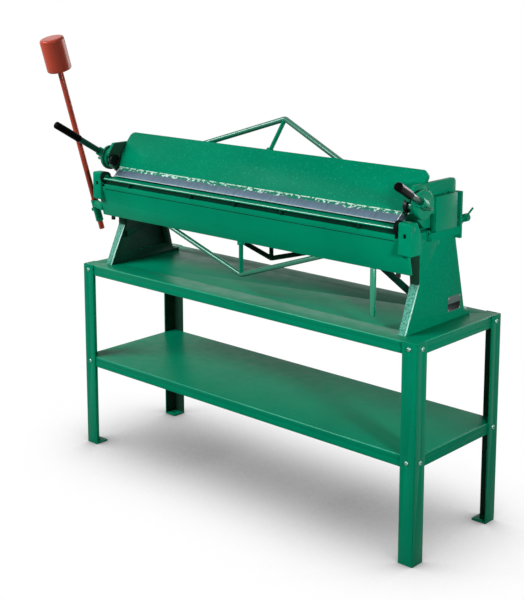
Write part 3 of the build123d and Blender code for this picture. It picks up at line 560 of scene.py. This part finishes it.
def heel_edges(shape, low, high):
    """The outer corner of an angle leg."""
    planes = list(enumerate(leg_corner(low, high)))
    return [e for e in sharp_edges(shape) if on_planes(e, *planes)]


def inner_faces(shape, low, high):
    """The two faces inside the angle of a leg, which look towards the middle of the stand."""
    found = []
    for axis, corner in enumerate(leg_corner(low, high)):
        for face in shape.faces:
            on_wall = abs(face.calc_center_median()[axis] - corner) < thickest_wall
            if on_wall and face.normal[axis] * math.copysign(1.0, corner) < -facing:
                found.append(face)
    return found


folded, dark_inside = 1, 2
stand_bends = {name: (fold_edges, folded) for name in ("top_tray", "lower_shelf")}
stand_bends |= {f"{side}_{end}_leg": (heel_edges, own) for side in sides for end in ("front", "rear")}
for name, (pick, finish) in stand_bends.items():
    shape = merged_copy(name)
    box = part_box(name)
    # Painted shade: the inner faces of the rear legs.
    if name.endswith("rear_leg"):
        for face in inner_faces(shape, *box):
            face.material_index = dark_inside
    # Painted highlight: on the trays the rounded fold faces get the paler edge paint.
    round_edges(shape, pick(shape, *box), fold_radius, fold_steps, finish)
    round_edges(shape, sharp_edges(shape), sheet_break)
    finished_piece(name, shape, edge_highlight_green, inside_shade_green)
print("stand pieces rounded:", len(stand_bends))

# %% [markdown]
# The end frames are castings. Their narrow sloping front was left as it came from the mould and then
# sprayed, so it has the hammered finish, whose pale tone is a painted highlight, and its right edge has a
# pale painted highlight. The lug round the hinge is painted black and the upright front below it dark, and
# the inner faces get a darker paint: all three are painted shade. The rest is plain casting paint. The
# faces are told apart by where they are and by the way they look.

# %% End frames
cast_radius = 2.0 * mm
highlight_radius = 3.0 * mm
least_front = 0.002
least_forward = 0.6
least_upward = 0.2
bend_line = Vector((0, -0.183, 0.966))
lug_reach = 24.0 * mm
block_height = 0.80
block_depth = -0.10
hammered, rubbed_highlight, black_lug, shaded_inside, dark = range(1, 6)


def slopes_forward(face):
    """True for the narrow front, which looks forward and a little up."""
    leans = face.normal.y < -least_forward and face.normal.z > least_upward
    return leans and face.calc_area() > least_front


def looks_inward(face):
    """True for the faces that look straight towards the middle of the machine."""
    return face.normal.x * math.copysign(1.0, face.calc_center_median().x) < -facing


def frame_finish(face):
    """The material number of a face of an end frame."""
    middle = face.calc_center_median()
    if slopes_forward(face):
        return hammered
    # Painted shade: the lug round the hinge is black.
    if (middle - bend_line).yz.length < lug_reach:
        return black_lug
    # Painted shade: the faces that look inward.
    if looks_inward(face):
        return shaded_inside
    # Painted shade: the front faces below the lug are dark.
    behind_block = middle.z > block_height and middle.y < block_depth
    return dark if behind_block and face.normal.y < -facing else own


for side in sides:
    name = f"{side}_end_frame"
    shape = merged_copy(name)
    for face in shape.faces:
        face.material_index = frame_finish(face)
    front = [face for face in shape.faces if face.material_index == hammered]
    beside = [e for e in sharp_edges(shape) if set(e.link_faces) & set(front)]
    right_most = max(face.calc_center_median().x for face in front)
    outer = [e for e in beside if all(v.co.x > right_most for v in e.verts)]
    # Painted highlight: the right edge of the front gets the pale paint.
    round_edges(shape, outer, highlight_radius, segments=3, finish=rubbed_highlight)
    round_edges(shape, sharp_edges(shape), cast_radius)
    finished_piece(name, shape, hammered_highlight_green, rubbed_highlight_green, dull_black, shade_green, inside_shade_green)
print("end frames rounded, front faces:", len(front), "rubbed edges:", len(outer))

# %% [markdown]
# The nose bar and the bar along the apron do the bending. The nose bar is bare. Sheets that slide over it
# wear its front edge and its left end, which get the bright worn finish, partly a painted highlight, and its
# back was painted with the leaf. To give the left end a finish of its own, the bar is first cut there
# without taking anything away.

# %% Nose bar
end_wear = 5.0 * mm
end_radius = 3.0 * mm
bar_break = 0.6 * mm
least_backward = 0.1
worn, painted = 1, 2


def slice_at(shape, point, way, clear_inner=False):
    """Cuts a shape along a plane; clear_inner takes away what lies behind the plane."""
    whole = shape.verts[:] + shape.edges[:] + shape.faces[:]
    bmesh.ops.bisect_plane(shape, geom=whole, plane_co=point, plane_no=way, clear_inner=clear_inner)


shape = merged_copy("nose_bar")
low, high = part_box("nose_bar")
worn_end = low.x + end_wear
slice_at(shape, (worn_end, 0, 0), (1, 0, 0))
# Partly a painted highlight: the front faces and the left end get the bright worn finish.
for face in shape.faces:
    if face.normal.y < -facing or face.calc_center_median().x < worn_end:
        face.material_index = worn
    elif face.normal.y > least_backward:
        face.material_index = painted
ends = [e for e in sharp_edges(shape) if on_planes(e, (0, low.x)) or on_planes(e, (0, high.x))]
round_edges(shape, ends, end_radius, segments=4, finish=worn)
round_edges(shape, sharp_edges(shape), bar_break)
finished_piece("nose_bar", shape, worn_highlight_edge, finishes["leaf_paint"])
print("nose bar rounded, edges at its ends:", len(ends))

# %% [markdown]
# The apron's bar is painted, and its front edge, worn by the sheets, gets a pale paint that is mostly a
# painted highlight. The faces that are set back behind that edge, and a shallow groove that runs along the
# apron's plate below the bar, get a dark paint, which is painted shade.

# %% Apron
set_back = 1.0 * mm
highlight_edge = 1.5 * mm
groove_low = 0.9255
groove_high = 0.9285
pale, shaded_back = 1, 2


def in_groove(face):
    return all(groove_low < v.co.z < groove_high for v in face.verts)


shape = merged_copy("apron_bar")
low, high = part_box("apron_bar")
# Painted shade: faces set back behind the front edge.
for face in shape.faces:
    if face.normal.y < -facing and face.calc_center_median().y > low.y + set_back:
        face.material_index = shaded_back
# Painted highlight: the front edge.
front_edges = [e for e in sharp_edges(shape) if on_planes(e, (1, low.y), (2, high.z))]
round_edges(shape, front_edges, highlight_edge, finish=pale)
round_edges(shape, sharp_edges(shape), bar_break)
finished_piece("apron_bar", shape, rubbed_highlight_green, shade_green)
# Painted shade: the walls of the groove.
walls = rounded_piece("apron_plate", bar_break, in_groove, shade_green)
print("rubbed edges of the apron's bar:", len(front_edges), "walls of the groove:", walls)

# %% [markdown]
# The end of each eccentric pin that shows inside the leaf is dull black.

# %% Eccentric pins
pin_break = 0.8 * mm
end_depth = 0.5 * mm


def at_inner_end(face):
    return abs(abs(face.calc_center_median().x) - inner_end) < end_depth


for side in sides:
    name = f"{side}_eccentric_shaft"
    inner_end = min(abs(v.co.x) for v in nodes[name].data.vertices)
    rounded_piece(name, pin_break, at_inner_end, dull_black)
print("eccentric pins end at", round(inner_end, 4), "m from the middle")

# %% [markdown]
# The leaf meets the nose bar along its lower edge. Sheets catch there each time they are pushed in, so
# the paint is chipped along it in a ragged line; the pale colour where it is chipped is partly a painted
# highlight. A noise decides where the film still holds; with a sharp ramp its border looks broken off, not
# blended. The end plates and the clamp hubs get a darker paint on their inner faces, which is painted shade.

# %% Leaf
chip_share = 0.45
chip_blur = 0.03
chip_scale = 90.0
chip_gloss = (0.32, 0.2)
chip_radius = 3.5 * mm
leaf_break = 1.5 * mm
end_plate_break = 0.8 * mm
least_length = 1.0


def chipped_paint(name, paint, bare):
    """Paint that is chipped off where a noise is high, to a pale colour that is partly a painted highlight.
    """
    material, tree, shader, place = start_material(name)
    chips = noise(tree, place, chip_scale, detail=3.0, roughness=0.6)
    gone = ramp(tree, chips, chip_share - chip_blur, chip_share + chip_blur)
    feed(tree, shader, Base_Color=mix_colours(tree, gone, paint, bare),
         Roughness=ramp(tree, gone, 0.0, 1.0, *chip_gloss), Specular_IOR_Level=0.3)
    bump(tree, shader, gone, strength=0.6, depth=-0.2 * mm)
    return material


def reach_x(edge):
    return abs(edge.verts[0].co.x - edge.verts[1].co.x)


# Partly a painted highlight: the nearly white colour where the paint is chipped.
chipped_highlight_edge = chipped_paint("chipped_leaf_highlight_edge", green, colour(200, 236, 220))
shape = merged_copy("top_leaf_plate")
low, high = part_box("top_leaf_plate")
lower = [e for e in sharp_edges(shape) if reach_x(e) > least_length and on_planes(e, (1, low.y))]
round_edges(shape, lower, chip_radius, finish=extra)
round_edges(shape, sharp_edges(shape), leaf_break)
finished_piece("top_leaf_plate", shape, chipped_highlight_edge)
# Painted shade: the inner faces of the end plates and the clamp hubs.
for side in sides:
    for piece in ("leaf_end_plate", "clamp_hub"):
        rounded_piece(f"{side}_{piece}", end_plate_break, looks_inward, inside_shade_green)
print("leaf edges along the nose bar:", len(lower))

# %% [markdown]
# Bolts and nuts repeat, so Geometry Nodes make them: one pattern is built in a tree, and stands at many
# places. The places come from the solids themselves. Each fastener in a CAD node is an island of its own.
# A bolt's axis runs its longest way and a nut's its shortest, and a bolt's head is its wider end.

# %% Where the fasteners sit
def islands(shape):
    """The separate solids of a merged copy, as lists of points."""
    seen = set()
    groups = []
    for first in shape.verts:
        if first in seen:
            continue
        seen.add(first)
        group = [first]
        for vert in group:
            for edge in vert.link_edges:
                other = edge.other_vert(vert)
                if other not in seen:
                    seen.add(other)
                    group.append(other)
        groups.append([vert.co.copy() for vert in group])
    return groups


def middle_of(points, way):
    """The middle of the points' extents, measured along an axis and across it."""
    across = Vector((0, 0, 1)) if abs(way.x) > facing else Vector((1, 0, 0))
    middle = Vector((0, 0, 0))
    for axis in (way, across, way.cross(across)):
        reach = [point.dot(axis) for point in points]
        middle += axis * (min(reach) + max(reach)) / 2
    return middle


def fastener_places(name, long_way=True, axis=None, towards=None):
    """The outer end of each fastener in a node, and the way it looks, away from its seat."""
    shape = merged_copy(name)
    places = []
    for points in islands(shape):
        size = [max(p[i] for p in points) - min(p[i] for p in points) for i in range(3)]
        chosen = size.index(max(size) if long_way else min(size))
        way = axis.copy() if axis else Vector([float(i == chosen) for i in range(3)])
        middle = middle_of(points, way)
        ends = {}
        for sign in (1, -1):
            end = max(p.dot(way) * sign for p in points)
            rim = [p - middle for p in points if p.dot(way) * sign > end - rim_depth]
            ends[sign] = (max((r - way * r.dot(way)).length for r in rim), end)
        sign = 1 if ends[1][0] >= ends[-1][0] else -1
        if towards:
            sign = 1 if (towards - middle).dot(way) > 0 else -1
        places.append((middle + way * (sign * ends[sign][1] - middle.dot(way)), way * sign))
    shape.free()
    return places


rim_depth = 0.1 * mm
stand_middle = Vector((0, 0, 0.3))
leaf_slope = math.radians(52.8)
leaf_way = Vector((0, -math.sin(leaf_slope), math.cos(leaf_slope)))
places = {
    "stand_bolts": fastener_places("stand_bolts"),
    "stand_nuts": fastener_places("stand_nuts", long_way=False, towards=stand_middle),
    "frame_bolts": fastener_places("frame_bolts"),
    "nose_bar_bolts": fastener_places("nose_bar_bolts", axis=leaf_way),
}
print("fasteners found:", {name: len(found) for name, found in places.items()})

# %% [markdown]
# Every tree begins and ends in the same way. It takes points that carry the way to look, and sizes with
# names. At the end the pattern is turned to that way at each point, made real, because a copy that only
# points to its pattern is lost on export, and given its finish. The heads are built at the origin with
# their outer face at height zero and the shank below.

# %% Parts of a fastener tree
round_corners = 24
shank_corners = 16
hexagon = 6


def start_tree(name, *sizes):
    tree = bpy.data.node_groups.new(name, "GeometryNodeTree")
    tree.interface.new_socket("Places", in_out="INPUT", socket_type="NodeSocketGeometry")
    for size in sizes:
        tree.interface.new_socket(size, in_out="INPUT", socket_type="NodeSocketFloat")
    tree.interface.new_socket("Finish", in_out="INPUT", socket_type="NodeSocketMaterial")
    tree.interface.new_socket("Pieces", in_out="OUTPUT", socket_type="NodeSocketGeometry")
    return tree, tree.nodes.new("NodeGroupInput").outputs


def end_tree(tree, given, *parts):
    """Stands the parts at each place, turned outward, as plain mesh with its finish."""
    joined = tree.nodes.new("GeometryNodeJoinGeometry")
    for part in parts:
        feed(tree, joined, Geometry=part)
    outward = add(tree, "GeometryNodeInputNamedAttribute", {"data_type": "FLOAT_VECTOR"}, Name="outward")
    way = next(s for s in outward.outputs if s.name == "Attribute" and s.enabled)
    turn = add(tree, "FunctionNodeAlignRotationToVector", {"axis": "Z"}, Vector=way)
    stood = add(tree, "GeometryNodeInstanceOnPoints", Points=given["Places"], Rotation=turn, Instance=joined)
    real = add(tree, "GeometryNodeRealizeInstances", Geometry=stood)
    coated = add(tree, "GeometryNodeSetMaterial", Geometry=real, Material=given["Finish"])
    add(tree, "NodeGroupOutput", Pieces=coated)
    return tree


def lifted(tree, shape, height):
    at = add(tree, "ShaderNodeCombineXYZ", Z=height)
    return add(tree, "GeometryNodeTransform", Geometry=shape, Translation=at)


def drum(tree, corners, radius, depth, top, rings=1):
    """A prism or a cylinder about Z, down from the height of its top."""
    made = add(tree, "GeometryNodeMeshCylinder", Vertices=corners, Side_Segments=rings, Radius=radius,
               Depth=depth)
    half = times(tree, depth, 0.5)
    return lifted(tree, made, math_node(tree, "SUBTRACT", top, half))


def cut(tree, shape, tool):
    node = add(tree, "GeometryNodeMeshBoolean", {"operation": "DIFFERENCE"})
    for socket, part in zip(node.inputs, (shape, tool)):
        set_or_link(tree, socket, part)
    return node


def shank(tree, given):
    seat = times(tree, given["Head Height"], -1.0)
    return drum(tree, shank_corners, given["Shank Radius"], given["Shank Length"], seat)


print("parts for the trees ready")

# %% [markdown]
# The stand is held by domed bolts with a hexagon socket. The dome is a cylinder with several rings: each
# ring shrinks with its height as the slice of a ball does. A modelled ball would need trimming; this
# keeps a flat seat and a flat crown. Rivets are the same dome without the socket.

# %% Domed bolts and rivets
dome_rings = 6


def domed(name, socket):
    sizes = ("Head Radius", "Head Height", "Dome", "Shank Radius", "Shank Length")
    tree, given = start_tree(name, *sizes, *(("Socket Radius", "Socket Depth") if socket else ()))
    head = drum(tree, round_corners, given["Head Radius"], given["Head Height"], 0.0, rings=dome_rings)
    at = add(tree, "GeometryNodeInputPosition")
    part = add(tree, "ShaderNodeSeparateXYZ", Vector=at).outputs
    share = math_node(tree, "ADD", math_node(tree, "DIVIDE", part["Z"], given["Head Height"]), 1.0)
    bend = times(tree, share, given["Dome"])
    ring = math_node(tree, "SQRT", math_node(tree, "SUBTRACT", 1.0, times(tree, bend, bend)))
    drawn_in = add(tree, "ShaderNodeCombineXYZ", X=times(tree, part["X"], ring),
                   Y=times(tree, part["Y"], ring), Z=part["Z"])
    head = add(tree, "GeometryNodeSetPosition", Geometry=head, Position=drawn_in)
    if socket:
        depth = times(tree, given["Socket Depth"], 2.0)
        head = cut(tree, head, drum(tree, hexagon, given["Socket Radius"], depth, given["Socket Depth"]))
    return end_tree(tree, given, head, shank(tree, given))


def pattern_piece(name, node, tree, found, finish, **sizes):
    """The tree run over the places, as a plain mesh that stands for the node."""
    points = bpy.data.meshes.new(f"{name}_places")
    points.from_pydata([place for place, way in found], [], [])
    outward = points.attributes.new("outward", "FLOAT_VECTOR", "POINT")
    for item, (place, way) in zip(outward.data, found):
        item.vector = way
    holder = bpy.data.objects.new(f"{name}_places", points)
    scene.collection.objects.link(holder)
    modifier = holder.modifiers.new(tree.name, "NODES")
    modifier.node_group = tree
    values = {size.replace("_", " "): value for size, value in sizes.items()} | {"Finish": finish}
    for socket in tree.interface.items_tree:
        if socket.in_out == "INPUT" and socket.name in values:
            modifier[socket.identifier] = values[socket.name]
    mesh = bpy.data.meshes.new_from_object(holder.evaluated_get(bpy.context.evaluated_depsgraph_get()))
    mesh.name = name
    bpy.data.objects.remove(holder)
    place_piece(name, mesh, node)
    return len(mesh.polygons)


zinc = finishes["fastener_steel"]
domed_bolt = domed("domed_socket_bolts", True)
faces = pattern_piece("stand_bolts_made", "stand_bolts", domed_bolt, places["stand_bolts"], zinc,
                      Head_Radius=7.0 * mm, Head_Height=4.4 * mm, Dome=0.85, Shank_Radius=4.0 * mm,
                      Shank_Length=15.0 * mm, Socket_Radius=2.9 * mm, Socket_Depth=2.4 * mm)
print("domed bolts:", len(places["stand_bolts"]), "faces:", faces)

# %% [markdown]
# A hexagon head is turned before it is cut from its bar, so its corners are rounded off at the top. The
# tree does the same: a six-sided prism and a large ball, and what lies in both. Nuts are such a head with
# a bore.

# %% Hexagon bolts and nuts
ball_share = 0.741
ball_drop = -0.56


def hexagon_head(tree, flats, height):
    prism = drum(tree, hexagon, times(tree, flats, 1 / math.sqrt(3)), height, 0.0)
    ball = add(tree, "GeometryNodeMeshUVSphere", Segments=32, Rings=24,
               Radius=times(tree, flats, ball_share))
    ball = lifted(tree, ball, times(tree, flats, ball_drop))
    both = add(tree, "GeometryNodeMeshBoolean", {"operation": "INTERSECT"})
    for part in (prism, ball):
        set_or_link(tree, both.inputs[1], part)
    return both


def hexagon_bolts():
    tree, given = start_tree("hexagon_bolts", "Flats", "Head Height", "Shank Radius", "Shank Length")
    head = hexagon_head(tree, given["Flats"], given["Head Height"])
    return end_tree(tree, given, head, shank(tree, given))


def hexagon_nuts():
    tree, given = start_tree("hexagon_nuts", "Flats", "Height", "Bore Radius")
    depth = times(tree, given["Height"], 3.0)
    bore = drum(tree, round_corners, given["Bore Radius"], depth, given["Height"])
    return end_tree(tree, given, cut(tree, hexagon_head(tree, given["Flats"], given["Height"]), bore))


def stands_upright(found):
    """True for a fastener whose axis is upright."""
    return abs(found[1].z) > facing


hexagon_bolt = hexagon_bolts()
hexagon_nut = hexagon_nuts()
pattern_piece("frame_bolts_made", "frame_bolts", hexagon_bolt, places["frame_bolts"], zinc, Flats=16.0 * mm,
              Head_Height=6.5 * mm, Shank_Radius=5.0 * mm, Shank_Length=24.0 * mm)
pattern_piece("nose_bar_bolts_made", "nose_bar_bolts", hexagon_bolt, places["nose_bar_bolts"], zinc,
              Flats=13.0 * mm, Head_Height=5.0 * mm, Shank_Radius=4.0 * mm, Shank_Length=12.0 * mm)
tab_nuts = [found for found in places["stand_nuts"] if stands_upright(found)]
leg_nuts = [found for found in places["stand_nuts"] if not stands_upright(found)]
pattern_piece("stand_nuts_made", "stand_nuts", hexagon_nut, leg_nuts, zinc, Flats=13.0 * mm, Height=6.5 * mm,
              Bore_Radius=4.1 * mm)
pattern_piece("frame_nuts_made", "stand_nuts", hexagon_nut, tab_nuts, zinc, Flats=16.0 * mm, Height=8.0 * mm,
              Bore_Radius=5.1 * mm)
print("hexagon pieces:", len(places["frame_bolts"]) + len(places["nose_bar_bolts"]), "bolts,",
      len(leg_nuts) + len(tab_nuts), "nuts")

# %% [markdown]
# The post of the leaf's truss stands on the leaf's upper edge with a large nut at its foot, which sets
# how hard the rod pulls. The nut is the same tree with other sizes. Its place is found from the post's
# own points above the leaf.

# %% Nut of the leaf's truss
nut_height = 14.0 * mm
post_break = 0.8 * mm
leaf_up = Vector((0, math.cos(leaf_slope), math.sin(leaf_slope)))
leaf_edge = max(v.co.dot(leaf_up) for v in nodes["top_leaf_plate"].data.vertices)
nut_top = leaf_edge + nut_height
post_points = [v.co for v in nodes["leaf_truss_post"].data.vertices if v.co.dot(leaf_up) > nut_top]
post_reach = [point.dot(leaf_way) for point in post_points]
post_foot = leaf_way * (min(post_reach) + max(post_reach)) / 2 + leaf_up * nut_top
pattern_piece("leaf_truss_nut", "leaf_truss_post", hexagon_nut, [(post_foot, leaf_up)],
              finishes["machine_paint"], Flats=24.0 * mm, Height=nut_height, Bore_Radius=7.2 * mm)
rounded_piece("leaf_truss_post", post_break)
print("nut at", [round(v, 3) for v in post_foot])

# %% [markdown]
# The setback screws push the slide housings to the front and rear. Each is a knob on a threaded rod. A
# thread follows a path, a helix, so a tree winds a small four-sided profile along a spiral round a plain
# core. Its pitch is the way that the housing goes in one turn. The knob is the solid's own, cut off where
# the thread begins.

# %% Setback screws
ridge_share = 0.42
turn_steps = 20
knob_length = 18.0 * mm
knob_break = 0.5 * mm
thread_end = 2.0 * mm
rearward = Vector((0, 1, 0))


def threads():
    tree, given = start_tree("screw_threads", "Outer Radius", "Pitch", "Length")
    depth = times(tree, given["Pitch"], ridge_share)
    core = math_node(tree, "SUBTRACT", given["Outer Radius"], depth)
    turns = math_node(tree, "DIVIDE", given["Length"], given["Pitch"])
    helix = add(tree, "GeometryNodeCurveSpiral", Resolution=turn_steps, Rotations=turns, Start_Radius=core,
                End_Radius=core, Height=given["Length"])
    profile = add(tree, "GeometryNodeCurvePrimitiveCircle", Resolution=4, Radius=depth)
    ridge = add(tree, "GeometryNodeCurveToMesh", Curve=helix, Profile_Curve=profile, Fill_Caps=True)
    ridge = lifted(tree, ridge, times(tree, given["Length"], -1.0))
    return end_tree(tree, given, ridge, drum(tree, turn_steps, core, given["Length"], 0.0))


thread = threads()
for side in sides:
    name = f"{side}_setback_screw"
    low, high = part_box(name)
    knob_front = Vector(((low.x + high.x) / 2, high.y - knob_length, (low.z + high.z) / 2))
    shape = merged_copy(name)
    slice_at(shape, knob_front, rearward, clear_inner=True)
    bmesh.ops.holes_fill(shape, edges=[e for e in shape.edges if e.is_boundary])
    round_edges(shape, sharp_edges(shape), knob_break)
    finished_piece(name, shape)
    pattern_piece(f"{side}_setback_thread", name, thread, [(knob_front, rearward)], finishes[slot_of[name]],
                  Outer_Radius=5.95 * mm, Pitch=4.0 * mm, Length=knob_front.y - low.y - thread_end)
print("setback screws threaded")

# %% [markdown]
# The plate on the right frame is a thin sheet with round corners, held by four rivets. Its upper part is
# bare metal, and its lower part is a dark field that is etched a little deeper. Both are left blank.

# %% Plate
corner_radius = 4.0 * mm
border = 1.5 * mm
field_share = 0.52
least_field = 0.0003
etch_inset = 0.4 * mm
etch_depth = -0.3 * mm
rivet_height = 1.2 * mm
rivet_inset = 4.5 * mm
outward_x = Vector((1, 0, 0))
low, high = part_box("data_plate")
shape = merged_copy("data_plate")
corners = [e for e in sharp_edges(shape) if reach_x(e) > touch]
round_edges(shape, corners, corner_radius, segments=5)
outer = max(shape.faces, key=lambda face: face.normal.x * face.calc_area())
bmesh.ops.inset_region(shape, faces=[outer], thickness=border, depth=0.0)
split = Vector((high.x, 0, low.z + field_share * (high.z - low.z)))
inner = [outer] + outer.edges[:] + outer.verts[:]
bmesh.ops.bisect_plane(shape, geom=inner, plane_co=split, plane_no=(0, 0, 1))
fields = [f for f in shape.faces if f.normal.x > facing and f.calc_area() > least_field]
field = min(fields, key=lambda face: face.calc_center_median().z)
bmesh.ops.inset_region(shape, faces=[field], thickness=etch_inset, depth=etch_depth)
field.material_index = extra
finished_piece("data_plate", shape, plate_field)
rivet_rows = (low.z + rivet_inset, high.z - rivet_inset)
rivet_columns = (low.y + rivet_inset, high.y - rivet_inset)
rivet_places = [(Vector((high.x + rivet_height, y, z)), outward_x)
                for y in rivet_columns for z in rivet_rows]
pattern_piece("plate_rivets", "data_plate", domed("rivets", False), rivet_places, zinc, Head_Radius=2.2 * mm,
              Head_Height=rivet_height, Dome=0.92, Shank_Radius=1.2 * mm, Shank_Length=0.8 * mm)
print("plate rivets:", len(rivet_places))

# %% [markdown]
# The other pieces follow one rule: the radius goes with the finish, because both depend on how a piece is
# made. The bed is heavier than the rest, and has a radius of its own.

# %% Machine
usual_radius = 0.8 * mm
edge_radius = {"weight_paint": 1.0 * mm, "shaft_steel": 0.5 * mm, "stand_paint": 0.6 * mm}
own_radius = {"bed": 2.0 * mm}
done = {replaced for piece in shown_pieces() for replaced in piece.get("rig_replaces", [])}
for name in sorted(set(nodes) - done):
    rounded_piece(name, own_radius.get(name, edge_radius.get(slot_of[name], usual_radius)))

# %% [markdown]
# The floor is plain and pale. What the camera sees of it is white, darkened only where the machine stands
# close above it: Ambient Occlusion measures how much of the sky a point of the floor has lost, which is
# the soft shadow that a room of white walls gives. For the rays that only carry light it is a mid grey,
# so that its white doesn't light the machine from below.

# %% Floor
floor_size = 30.0
floor_grey = (0.35, 0.35, 0.35, 1)
white = (1, 1, 1, 1)
shelter_reach = 0.55
shelter_range = (0.24, 0.92)


def choose_shader(tree, lit, seen, output):
    """One shader for rays that only carry light, another for the camera, reflections and glass."""
    ray = tree.nodes.new("ShaderNodeLightPath").outputs
    direct = math_node(tree, "ADD", ray["Is Camera Ray"], ray["Is Glossy Ray"])
    direct = math_node(tree, "ADD", direct, ray["Is Transmission Ray"])
    choose = tree.nodes.new("ShaderNodeMixShader")
    for socket, shader in zip(choose.inputs, (direct, lit, seen)):
        set_or_link(tree, socket, shader)
    feed(tree, tree.nodes[output], Surface=choose)


def floor_material():
    material, tree, shader, _ = start_material("pale_floor")
    feed(tree, shader, Base_Color=floor_grey, Roughness=0.9, Specular_IOR_Level=0.0)
    shelter = add(tree, "ShaderNodeAmbientOcclusion", {"samples": 16}, Distance=shelter_reach)
    light = ramp(tree, shelter.outputs["AO"], *shelter_range)
    glow = add(tree, "ShaderNodeEmission", Color=white, Strength=light)
    choose_shader(tree, shader, glow, "Material Output")
    return material


floor_shape = bmesh.new()
bmesh.ops.create_grid(floor_shape, x_segments=1, y_segments=1, size=floor_size / 2)
floor_mesh = bpy.data.meshes.new("floor")
floor_shape.to_mesh(floor_mesh)
floor_shape.free()
floor_mesh.materials.append(floor_material())
floor = bpy.data.objects.new("floor", floor_mesh)
scene.collection.objects.link(floor)
floor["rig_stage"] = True
print("floor is", floor_size, "m wide")

# %% [markdown]
# The room is white to the camera and in reflections, in the same way as the floor. As a light it is only
# a weak fill, and the lamps do the rest.

# %% Surroundings
fill_strength = 0.04
world = bpy.data.worlds.new("studio")
world.use_nodes = True
scene.world = world
surround = world.node_tree
soft_fill = surround.nodes["Background"]
feed(surround, soft_fill, Color=white, Strength=fill_strength)
white_wall = add(surround, "ShaderNodeBackground", Color=white, Strength=1.0)
choose_shader(surround, soft_fill, white_wall, "World Output")
print("fill light:", fill_strength)

# %% [markdown]
# Four soft boxes light the machine. A long one at the front left is the main light, and draws bright
# lines along rods and cast edges. The one at the right is low enough to reach under the tray. A weak one
# overhead lifts the level faces, and one behind, as low as the machine, shows its back without reaching
# the front.

# %% Lights
def soft_box(name, place, aim, size, power, spread=180.0):
    lamp = bpy.data.lights.new(name, "AREA")
    lamp.shape = "RECTANGLE"
    lamp.size, lamp.size_y = size
    lamp.energy = power
    lamp.spread = math.radians(spread)
    lamp_object = bpy.data.objects.new(name, lamp)
    lamp_object.location = place
    direction = Vector(aim) - Vector(place)
    lamp_object.rotation_euler = direction.to_track_quat("-Z", "Y").to_euler()
    lamp_object.visible_camera = False
    scene.collection.objects.link(lamp_object)


soft_box("right_box", (2.35, -0.9, 1.3), (0.4, 0.0, 0.78), size=(0.3, 0.3), power=5.8, spread=80.0)
soft_box("front_left_box", (-2.2, -3.3, 3.55), (0.0, -0.1, 0.75), size=(3.0, 1.5), power=225.0)
soft_box("overhead_box", (0.0, -0.3, 4.2), (0.0, 0.0, 0.6), size=(2.6, 1.8), power=2.0)
soft_box("rear_box", (0.3, 4.2, 1.3), (0.0, 0.1, 0.8), size=(3.0, 1.5), power=80.0)

# %% [markdown]
# The dressed machine may not outgrow its solids, so the box of what is shown is measured.

# %% Sizes and finish
low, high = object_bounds()
